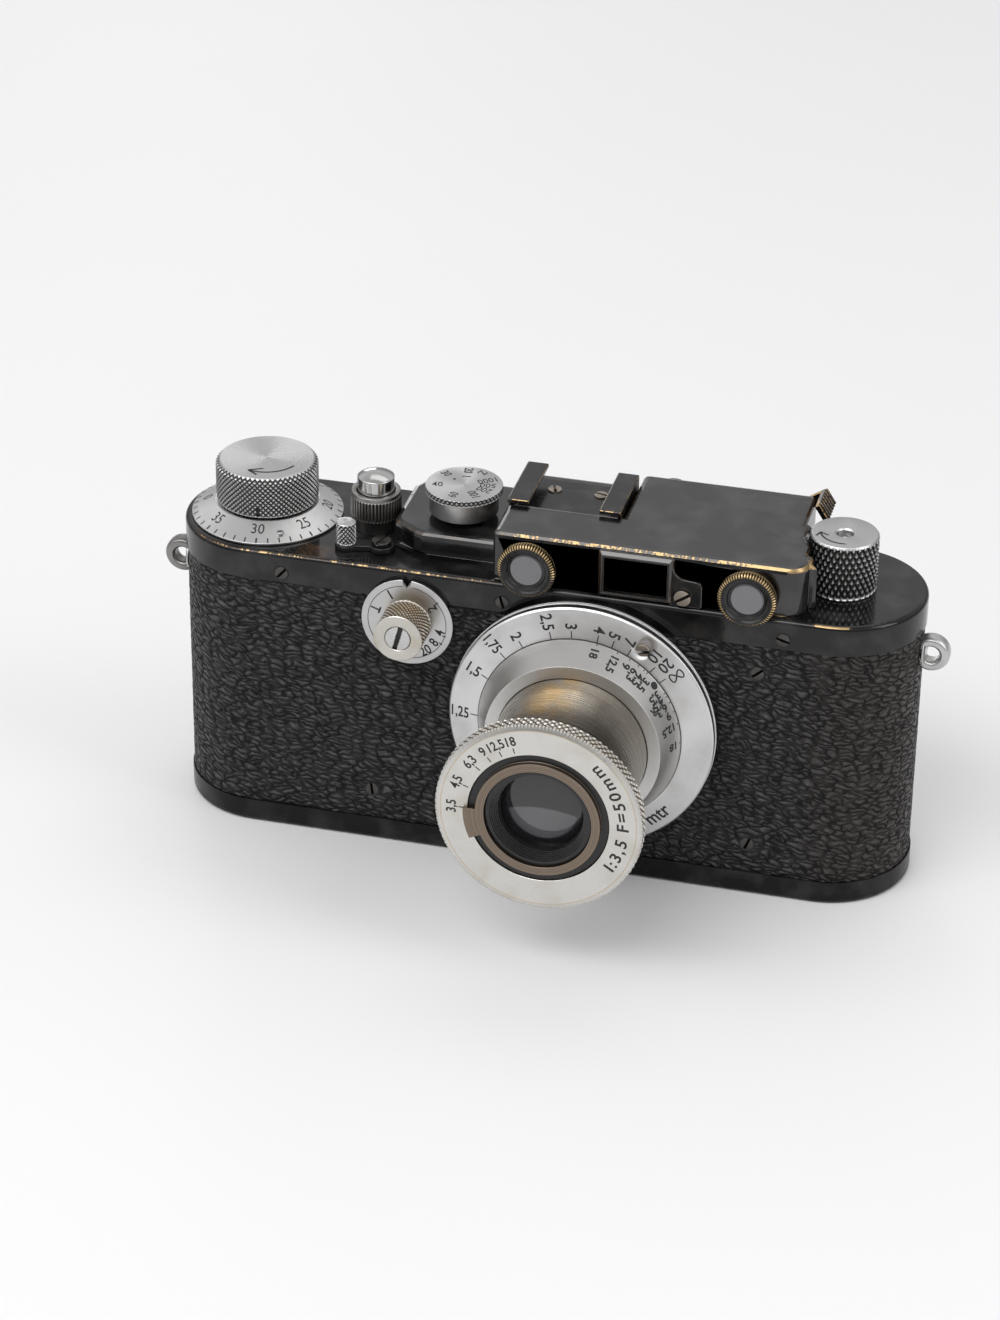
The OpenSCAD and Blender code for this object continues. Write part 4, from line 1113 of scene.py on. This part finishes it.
def make_tube():
    """The sliding tube of the lens."""
    back, front = lens_heights("lens_tube")
    r, bore = reach("lens_tube"), 12.5
    line = rounded([(bore, back), (r, back), (r, front - 0.35), (r - 0.12, front - 0.2), (r - 0.12, front),
                    (bore, front)], 0.08, ring=True)
    turned("sliding_tube", line, 240, "tube", "lens_barrel", ON_LENS, ring=True, stands_for="lens_tube")


def make_front_ring():
    """Knurled front ring with the aperture scale on its face."""
    back, front = lens_heights("front_ring")
    r, bore, rim = reach("front_ring"), 12.2, 16.9
    edge = front - 0.4
    line = [(bore, back), (15.6, back), (16.8, back + 0.7), (r, back + 0.8), (r, edge), (rim, front),
            (bore, front)]
    line = refined(rounded(line, 0.12, ring=True), back + 0.85, edge, 0.134, ring=True)
    turned("front_ring_knurled", line, 828, "ring_knurl", "lens_barrel", ON_LENS,
           knurl(92, back + 0.7, edge + 0.12, r - 0.2, 0.4, 1.28), ring=True, stands_for="front_ring")
    trim = rounded([(rim - 0.1, front - 0.1), (rim + 0.05, front - 0.12), (rim + 0.05, front - 0.01),
                    (rim - 0.1, front + 0.02)], 0.02, ring=True)
    turned("front_ring_edge", trim, 240, "edge_brass", "lens_barrel", ON_LENS, ring=True)
    face = Marks((rim, front), (bore, front))
    stops = (("3,5", 179.5), ("4,5", 160.8), ("6,3", 142.2), ("9", 130), ("12,5", 119.7), ("18", 109))
    for words, angle in stops:
        face.tick(angle, 12.75, 13.75, 0.18)
        face.figure(words, 1.65, angle, 15.05, "out", widest=3.0)
    face.words_on_arc("1:3,5 F=50mm", 1.95, 14.55, -33, 51)
    face.build("aperture_figures", "lens_barrel", ON_LENS)


def make_optics():
    """Blackened barrel with its stepped mouth, and the three glasses in it."""
    front = lens_heights("optics_barrel")[1]
    seat, outer = 46.4, 12.15
    steps = []
    for k in range(6):
        r = 8.4 - 0.2 * k
        steps += [(r, front - 0.35 * k), (r, front - 0.35 * (k + 1))]
    line = [(8.2, 37), (outer, 37), (outer, 48.4), (9.2, 48.4), (9.2, front), *steps, (7.2, seat),
            (8.2, seat)]
    line = rounded(line, 0.05, ring=True, parts=2)
    turned("optics_barrel_stepped", line, 192, "black", "lens_barrel", ON_LENS, ring=True,
           stands_for="optics_barrel")
    r = 8.15
    for name, low, high, back_bulge, bulge in (("front_glass", 44.6, 46.35, 0.3, 1.3),
                                               ("middle_glass", 41.6, 42.6, -0.3, -0.3),
                                               ("rear_glass", 37.6, 40.0, 0.5, 0.5)):
        fall = [(r * t, low + back_bulge * t * t) for t in np.linspace(0, 1, 9)]
        rise = [(r * t, high - bulge * t * t) for t in np.linspace(1, 0, 9)]
        turned(name, fall + rise, 120, "lens", "lens_barrel", ON_LENS,
               stands_for="lens_glasses" if name == "front_glass" else "")


# ---------- rangefinder windows ----------


def make_rims():
    """The two coin-edged windows of the rangefinder, each with its black seat and pane."""
    mid = middle("rf_window_rims")[0]
    z = middle("rf_eyepiece")[2]
    half = reach("rf_window_rims") - 5.1
    face = -extent("rf_window_rims")[0][1]
    skirt = z - extent("rangefinder_housing")[0][2] - 0.08
    line = [(3.4, 12.6), (3.6, 12.6), (3.6, 14.2), (4.6, 14.2), (4.6, 15.05), (5.1, 15.05), (5.1, face - 0.3),
            (4.8, face), (4.5, face), (4.4, face - 0.5), (3.4, face - 0.7)]
    line = refined(rounded(line, 0.08, ring=True), 15.1, face + 0.01, 0.12, ring=True)
    teeth = knurl(62, 15.0, face + 0.3, 4.42, 0.24, flat=1.1)
    seat = [(2.9, face - 1.0), (4.5, face - 1.0), (4.5, face - 0.08), (4.2, face - 0.06),
            (3.95, face - 0.4), (3.5, face - 0.45), (3.3, face - 0.8), (2.9, face - 0.85)]
    seat = rounded(seat, 0.06, ring=True)
    pane = rounded([(0, face - 1.2), (3.0, face - 1.2), (3.0, face - 0.95), (0, face - 0.9)], 0.04)

    def relief(angle, radius, height):
        inwards, down, mark = teeth(angle, radius, height)
        under = np.where(np.sin(angle) < -0.2, skirt / np.maximum(-np.sin(angle), 0.2), 99.0)
        clip = np.maximum(radius - under, 0) * ((height < 15.0) & (radius > 3.3))
        return inwards + clip, down, mark

    for name, side, metal in (("rf_rim_left", -1, "rim_painted"), ("rf_rim_right", 1, "rim_bare")):
        place = facing_out(mid + side * half, z)
        turned(name, line, 558, metal, "camera_body", place, relief, ring=True,
               stands_for="rf_window_rims" if side < 0 else "")
        turned(name + "_seat", seat, 120, "black", "camera_body", place, ring=True)
        turned(name + "_pane", pane, 96, "window", "camera_body", place)


def frame_loop(name, half, corner, profile, material, body, place, **more):
    """A frame round a rectangle with round corners. profile holds the (inset, height) points across it."""
    points = []
    for inset, height in profile:
        round_r = max(0.12, corner - inset)
        for quarter in range(4):
            diagonal = math.radians(90 * quarter + 45)
            x = math.copysign(half[0] - inset - round_r, math.cos(diagonal))
            y = math.copysign(half[1] - inset - round_r, math.sin(diagonal))
            for k in range(5):
                turn = math.radians(90 * quarter + 22.5 * k)
                points.append((x + round_r * math.cos(turn), y + round_r * math.sin(turn), height))
    n, rows = 20, len(profile)
    faces = [(r * n + i, r * n + (i + 1) % n, (r + 1) % rows * n + (i + 1) % n, (r + 1) % rows * n + i)
             for r in range(rows) for i in range(n)]
    return piece(name, points, faces, material, body, place, **more)


def make_finder():
    """Bevelled frame of the finder's front window, with its bracket stepping down to one screw."""
    low, high = extent("finder_frame")
    thick = high[1] - low[1]
    window_wide = 13.3
    right = low[0] + window_wide
    half = ((right - low[0]) / 2, (high[2] - low[2]) / 2)
    place = facing_out((low[0] + right) / 2, (low[2] + high[2]) / 2, high[1])
    section = [(0, 0), (0, thick - 0.75), (0.15, thick - 0.5), (0.65, thick - 0.05), (0.75, thick),
               (0.95, thick), (1.02, thick - 0.1), (1.05, 0)]
    made = frame_loop("finder_window_frame", half, 0.5, section, "finder", "camera_body", place,
                      stands_for="finder_frame")
    made.data.set_sharp_from_angle(angle=math.radians(50))
    lip = [(1.0, thick - 0.3), (1.0, thick - 0.02), (1.12, thick - 0.02), (1.12, thick - 0.3)]
    frame_loop("finder_window_edge", half, 0.5, lip, "screw", "camera_body", place)
    shelf, rounding, hollow = low[2] + 5.0, 1.1, 1.9
    turns = np.linspace(0, math.pi / 2, 7)
    outline = [(right - 0.6, low[2]), (high[0] - 0.3, low[2]), (high[0], low[2] + 0.3)]
    outline += [(high[0] - rounding * (1 - math.cos(t)), shelf - rounding * (1 - math.sin(t))) for t in turns]
    outline += [(right + hollow * (1 - math.sin(t)), shelf + 0.2 + hollow * (1 - math.cos(t))) for t in turns]
    outline += [(right - 0.6, shelf + 0.2 + hollow)]
    slab_from("finder_bracket", outline, 0, thick - 0.2, 0.4, "finder", "camera_body",
              facing_out(0, 0, high[1]))


# ---------- screws, spring, ribs and strap lugs ----------


def slotted_head(name, radius, rise, material, body, place, turn, **more):
    """A domed screw head with its slot, round local Z."""
    line = rounded([(0, -0.5), (radius, -0.5), (radius, rise * 0.4), (0, rise)], 0.12)

    def slot_cut(angle, r, height):
        cut = (np.abs(r * np.sin(angle - turn)) < 0.17 * radius) & (height > -0.1) & (r < radius + 0.01)
        return 0, cut * 0.4, cut * 1.0

    turned(name, refined_disc(line, 10), 144, material, body, place, slot_cut, **more)


def make_screws():
    """Screws of the skirt and of the leather, each ringed by a black ring that paints the shade in its
    countersink, and those of the fittings.
    """
    places = []
    for x in SKIRT_SCREWS:
        places.append(facing_out(x, SKIRT_SCREW_Z, -BODY_R))
        places.append(facing_out(x, SKIRT_SCREW_Z, BODY_R) @ Matrix.Rotation(math.pi, 4, "Y"))
    places += [facing_out(x, z, 0.05 - LEATHER_R) for x, z in LEATHER_SCREWS]
    brim = [(1.2, -0.3), (1.47, -0.3), (1.47, 0.02), (1.2, -0.1)]
    for n, place in enumerate(places, 1):
        slotted_head(f"body_screw_{n}", 1.22, 0.12, "screw", "camera_body", place, 0.35 + 0.5 * n,
                     stands_for="body_screws" if n == 1 else "")
        # Painted shade: a matte black ring round each head stands for the shade in its countersink.
        turned(f"body_screw_shade_ring_{n}", brim, 48, "fill", "camera_body", place, ring=True, slot="black_metal")
    (_, _, frame_low), (frame_right, _, _) = extent("finder_frame")
    place = facing_out(frame_right - 3.3, frame_low + 1.9, extent("cover_screws")[0][1] + 0.1)
    slotted_head("finder_screw", 1.45, 0.14, "screw_worn", "camera_body", place, 0.6,
                 stands_for="cover_screws")
    shoe_x, shoe_low = middle("accessory_shoe")[0], extent("accessory_shoe")[0][2]
    for n, side in enumerate((-1, 1), 1):
        place = Matrix.Translation(Vector((shoe_x + side * 4.2, 7.2, shoe_low + 0.85)) * MM)
        slotted_head(f"shoe_screw_{n}", 1.25, 0.12, "screw_worn", "camera_body", place, 0.9 + n)
    place = facing_out(SLOW[0], SLOW[2], extent("slow_dial_screw")[0][1] + 0.12)
    slotted_head("slow_dial_screw_head", reach("slow_dial_screw"), 0.12, "clean", "slow_speeds", place, 1.31,
                 stands_for="slow_dial_screw")


def make_spring():
    """Coil spring under the release button."""
    low, high = extent("release_spring")
    x, y, _ = middle("release_spring")
    coil, wire, rounds, sides, press = 1.95, 0.22, 4, 8, 2.0
    count, whole = rounds * 24, high[2] - low[2]
    points = []
    for k in range(count + 1):
        turn = WHOLE * k * rounds / count
        rise = low[2] + wire + (whole - 2 * wire) * k / count
        for side in range(sides):
            around = WHOLE * side / sides
            r = coil + wire * math.cos(around)
            points.append((x + r * math.cos(turn), y + r * math.sin(turn), rise + wire * math.sin(around)))
    faces = [tuple(range(sides)), tuple(reversed(range(count * sides, (count + 1) * sides)))]
    for k in range(count):
        for a in range(sides):
            here, ahead = k * sides, (k + 1) * sides
            faces.append((here + a, ahead + a, ahead + (a + 1) % sides, here + (a + 1) % sides))
    made = piece("release_coil_spring", points, faces, "inner", "camera_body", stands_for="release_spring")
    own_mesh(made)


def make_lever_ribs():
    """Ribs on the thumb tab of the dioptre ring."""
    low = extent("diopter_lever")[0][1]
    x, _, z = middle("rf_eyepiece")
    place = Matrix.Translation(Vector((x, 0, z)) * MM) @ Matrix.Rotation(math.radians(-33), 4, "Y")
    for n in range(6):
        y = low + 0.6 + n * 1.1
        rounded_box(f"diopter_rib_{n + 1}", (9.8, y, -1.9), (10.15, y + 0.55, 1.3), 0.12, "lips",
                    "diopter", place)


def make_lugs():
    """Round eyelets on stems at the two ends of the body, the left one darker."""
    x, _, z = middle("strap_lugs")
    tip = reach("strap_lugs")
    eye = [(1.5, -1.1), (1.9, -1.5), (2.9, -1.5), (3.3, -0.8), (3.3, 0.8), (2.9, 1.5), (1.9, 1.5), (1.5, 1.1)]
    eye = rounded(eye, 0.7, ring=True, parts=5)
    stem = rounded([(0, -3.0), (1.15, -3.0), (1.15, 0), (2.7, 0), (2.7, 0.3), (2.2, 0.55), (0, 0.55)], 0.12)
    for name, side, metal in (("strap_eyelet_left", -1, "dark_knurl"), ("strap_eyelet_right", 1, "nickel")):
        turned(name, eye, 96, metal, "camera_body", facing_out(x + side * (tip - 3.3), z), ring=True,
               slot="nickel", stands_for="strap_lugs" if side < 0 else "")
        place = Matrix.Translation(Vector((x + side * (END_X + LEATHER_R), 0, z)) * MM)
        place = place @ Matrix.Rotation(side * math.pi / 2, 4, "Y")
        turned(name + "_washer", stem, 64, "nickel", "camera_body", place)


# ---------- leather ----------


def half_length():
    """Half the way round the leather."""
    return math.pi * LEATHER_R + 2 * END_X


def on_side(s, radius, side):
    """The point at s millimetres along the half round the front (side -1) or back (side 1)."""
    quarter = math.pi * LEATHER_R / 2
    turn = np.where(s < quarter, s, np.where(s > quarter + 2 * END_X, s - 2 * END_X, quarter)) / LEATHER_R
    centre = np.clip(s - quarter, 0, 2 * END_X) - END_X
    return centre - radius * np.cos(turn), side * radius * np.sin(turn)


def pebble(s, z, seed):
    """Depth in millimetres of the leather's surface."""
    warp = noise.noise_vector(Vector((s * 0.3, z * 0.3, seed)))
    cell, _ = noise.voronoi(Vector(((s + 0.9 * warp.x) * 0.5, (z + 0.5 * warp.y) * 1.0, seed)))
    crease = 1 - min(1.0, (cell[1] - cell[0]) / 0.2)
    rough = noise.noise(Vector((s * 1.1, z * 1.6, seed + 7)))
    strength = 0.55 + 0.45 * noise.noise(Vector((s * 0.12, z * 0.2, seed + 3)))
    creased = crease * crease * (3 - 2 * crease) * strength
    return 0.03 + 0.05 * creased + 0.07 * cell[0] + 0.025 * rough


def make_leather(name, side, holes, pitch=0.39, thick=0.5):
    """Half of the leather, as a grid with real pebbling whose edges follow the holes in it."""
    length = half_length()
    across = np.linspace(0, length, round(length / pitch) + 1)
    up = np.linspace(LEATHER_LOW, LEATHER_HIGH, round((LEATHER_HIGH - LEATHER_LOW) / pitch) + 1)
    s, z = np.meshgrid(across, up, indexing="ij")
    rows = len(up)
    cell_s, cell_z = (s[1:, 1:] + s[:-1, :-1]) / 2, (z[1:, 1:] + z[:-1, :-1]) / 2
    kept = np.ones(cell_s.shape, bool)
    for hole_s, hole_z, hole_r in holes:
        kept &= np.hypot(cell_s - hole_s, cell_z - hole_z) > hole_r
    touches = np.zeros((len(across), rows), int)
    for a in (0, 1):
        for b in (0, 1):
            touches[a:len(across) - 1 + a, b:rows - 1 + b] += kept
    for hole_s, hole_z, hole_r in holes:
        away = np.hypot(s - hole_s, z - hole_z)
        brim = (touches > 0) & (touches < 4) & (away < hole_r + pitch * 1.5)
        stretch = np.where(brim, hole_r / np.maximum(away, 0.1), 1.0)
        s, z = hole_s + (s - hole_s) * stretch, hole_z + (z - hole_z) * stretch
    s = np.clip(s, 0, length)
    ragged = np.array([0.1 * noise.noise(Vector((x * 0.8, 3.0 * side, 0))) for x in across])
    z[:, 0] = LEATHER_LOW + 0.06 + np.abs(ragged)
    x, y = on_side(s, LEATHER_R - np.vectorize(pebble)(s, z, 5.0 * side), side)
    inner_x, inner_y = on_side(s, LEATHER_R - thick, side)
    outer = np.stack([x, y, z], axis=-1).reshape(-1, 3)
    inner = np.stack([inner_x, inner_y, z], axis=-1).reshape(-1, 3)
    grid = np.arange(s.size).reshape(s.shape)
    quads = np.stack([grid[:-1, :-1], grid[1:, :-1], grid[1:, 1:], grid[:-1, 1:]], axis=-1)[kept]
    if side > 0:
        quads = quads[:, ::-1]
    edges = np.concatenate([quads[:, [k, (k + 1) % 4]] for k in range(4)])
    seen = set(map(tuple, edges.tolist()))
    brims = [(a, b) for a, b in seen if (b, a) not in seen]
    n = s.size
    faces = quads.tolist() + (quads[:, ::-1] + n).tolist() + [(b, a, a + n, b + n) for a, b in brims]
    used = np.unique(np.concatenate([quads.reshape(-1), quads.reshape(-1) + n]))
    order = np.full(2 * n, -1)
    order[used] = np.arange(len(used))
    faces = [tuple(order[list(f)].tolist()) for f in faces]
    points = np.concatenate([outer, inner])[used]
    made = piece(name, points, faces, "leather", "camera_body",
                 stands_for="leather_cover" if side < 0 else "")
    made.modifiers.clear()


def make_leathers():
    """Front and back leather, with holes as (along, height, radius)."""
    quarter = math.pi * LEATHER_R / 2
    lug_z = middle("strap_lugs")[2]
    ends = [(0, lug_z, 2.4), (half_length(), lug_z, 2.4)]
    front = ends + [(quarter + END_X + x, z, 1.5) for x, z in LEATHER_SCREWS]
    front += [(quarter + END_X + LENS[0], LENS[2], 22.05), (quarter + END_X + SLOW[0], SLOW[2], 3.8)]
    make_leather("leather_front", -1, front)
    make_leather("leather_back", 1, ends)


# ---------- CAD nodes that keep their shape ----------

# For each material, the nodes that wear it and the bevel of their hard edges.
KEPT = {
    "housing": (("rangefinder_housing",), 1.1),
    "skirt": (("top_plate",), 0),
    "base": (("base_plate",), 0),
    "lips": (("accessory_shoe", "diopter_lever"), 0.25),
    "black": (("pressure_plate", "iris_blades", "clutch_lever", "slow_dial_bush", "take_up_spool",
               "film_gate", "finder_eyepiece", "rf_eyepiece", "dial_core"), 0.12),
    "screw": (("clutch_screw",), 0.12),
    "plain": (("rewind_shaft", "base_key", "base_key_flap", "coupling_ring", "body_mount_ring"), 0.15),
    "brass": (("tripod_bush", "mechanism_plate", "slow_escapement", "wind_shaft", "bayonet_ring"), 0.12),
    "bronze": (("aperture_ring",), 0.12),
    "inner": (("shutter_crate", "sprocket_drum", "curtain_drum", "tension_rollers", "rf_arm"), 0),
    "shell": (("body_shell",), 0),
    "window": (("rf_moving_prism", "rf_fixed_prism"), 0),
    "finder_glass": (("cover_glasses",), 0),
    "cloth": (("shutter_curtains",), 0),
}


def dress_nodes():
    """Materials for the kept CAD nodes, with their hard edges eased."""
    for material, (names, edge) in KEPT.items():
        for name in names:
            node = nodes[name]
            node.data.materials.clear()
            node.data.materials.append(MATERIALS[material])
            if not edge:
                continue
            weld = node.modifiers.new("weld", "WELD")
            weld.merge_threshold = 0.002 * MM
            tidy = node.modifiers.new("tidy", "DECIMATE")
            tidy.decimate_type = "DISSOLVE"
            tidy.angle_limit = math.radians(1)
            bevel_edges(node, edge).use_clamp_overlap = False
            weigh_normals(node)


# ---------- floor, light and camera ----------


def make_floor():
    """A wide pale floor under the camera."""
    half = 4000.0 * MM
    s = Shader("pale_floor", (0.82, 0.82, 0.825), 0.6)
    s.colour(s.mix(s.noise(0.01, 3), (0.81, 0.81, 0.815), (0.83, 0.83, 0.835)))
    mesh = bpy.data.meshes.new("floor")
    corners = [(-half, -half, 0), (half, -half, 0), (half, half, 0), (-half, half, 0)]
    mesh.from_pydata(corners, [], [(0, 1, 2, 3)])
    mesh.materials.append(s.material)
    put("floor", mesh)


def soft_light(name, place, target, size, power):
    """An area light aimed at a target, in metres and watts."""
    data = bpy.data.lights.new(name, "AREA")
    data.shape = "RECTANGLE"
    data.size, data.size_y = size
    data.energy = power
    lamp = put(name, data)
    lamp.location = place
    lamp.rotation_euler = (Vector(target) - Vector(place)).to_track_quat("-Z", "Y").to_euler()


def make_light():
    """A pale studio that is lightest near the horizon, with five soft lights."""
    world = bpy.data.worlds.new("studio")
    bpy.context.scene.world = world
    world.use_nodes = True
    tree = world.node_tree
    coordinates = tree.nodes.new("ShaderNodeTexCoord")
    split = tree.nodes.new("ShaderNodeSeparateXYZ")
    ramp = tree.nodes.new("ShaderNodeValToRGB")
    tree.links.new(coordinates.outputs["Generated"], split.inputs[0])
    tree.links.new(split.outputs["Z"], ramp.inputs[0])
    tree.links.new(ramp.outputs[0], tree.nodes["Background"].inputs[0])
    stops = ramp.color_ramp.elements
    stops[0].position, stops[0].color = 0.0, (0.3, 0.3, 0.31, 1)
    stops[1].position, stops[1].color = 1.0, (0.8, 0.8, 0.8, 1)
    for height, level in ((0.25, 0.62), (0.45, 1.2), (0.6, 1.2), (0.8, 1.0)):
        stops.new(height).color = (level, level, level * 1.01, 1)
    tree.nodes["Background"].inputs["Strength"].default_value = 0.655
    soft_light("left_softbox", (-0.75, -0.35, 0.75), (0, 0, 0.03), (0.6, 0.6), 1.0)
    soft_light("right_softbox", (0.85, -0.2, 0.65), (0.1, 0, 0.03), (0.4, 0.7), 2.4)
    soft_light("top_softbox", (0.0, 0.45, 1.0), (0, 0, 0.03), (0.8, 0.4), 0.9)
    soft_light("back_lamp", (-0.42, 0.95, 0.26), (0, 0, 0.03), (0.22, 0.22), 0.55)
    soft_light("front_softbox", (-0.25, -0.6, 0.95), (0, 0, 0.03), (0.8, 0.45), 5.0)
    bpy.context.scene.view_settings.view_transform = "Standard"


def make_camera():
    """The camera solved from the photograph, in degrees and millimetres."""
    azimuth, elevation, roll = (math.radians(a) for a in (13.99, 29.914, 0.738))
    target = Vector((-9.048, 0.0, 31.714))
    distance = 699.965
    back = Vector((math.sin(azimuth) * math.cos(elevation), -math.cos(azimuth) * math.cos(elevation),
                   math.sin(elevation)))
    right = Vector((math.cos(azimuth), math.sin(azimuth), 0.0))
    up = back.cross(right)
    tilted_right = math.cos(roll) * right + math.sin(roll) * up
    tilted_up = -math.sin(roll) * right + math.cos(roll) * up
    data = bpy.data.cameras.new("camera")
    data.lens = 106.87
    data.sensor_width = 36
    data.clip_end = 20
    camera = put("camera", data)
    turn = Matrix((tilted_right, tilted_up, back)).transposed().to_4x4()
    camera.matrix_world = Matrix.Translation((target + back * distance) * MM) @ turn
    bpy.context.scene.camera = camera


dress_nodes()
for make in (make_wind_knob, make_counter, make_release, make_clutch_knob, make_speed_dial, make_rewind_knob,
             make_slow_dial, make_flange, make_focus_ring, make_tube, make_front_ring, make_optics,
             make_rims, make_finder, make_screws, make_spring, make_lever_ribs, make_lugs, make_leathers):
    make()
make_floor()
make_light()
make_camera()
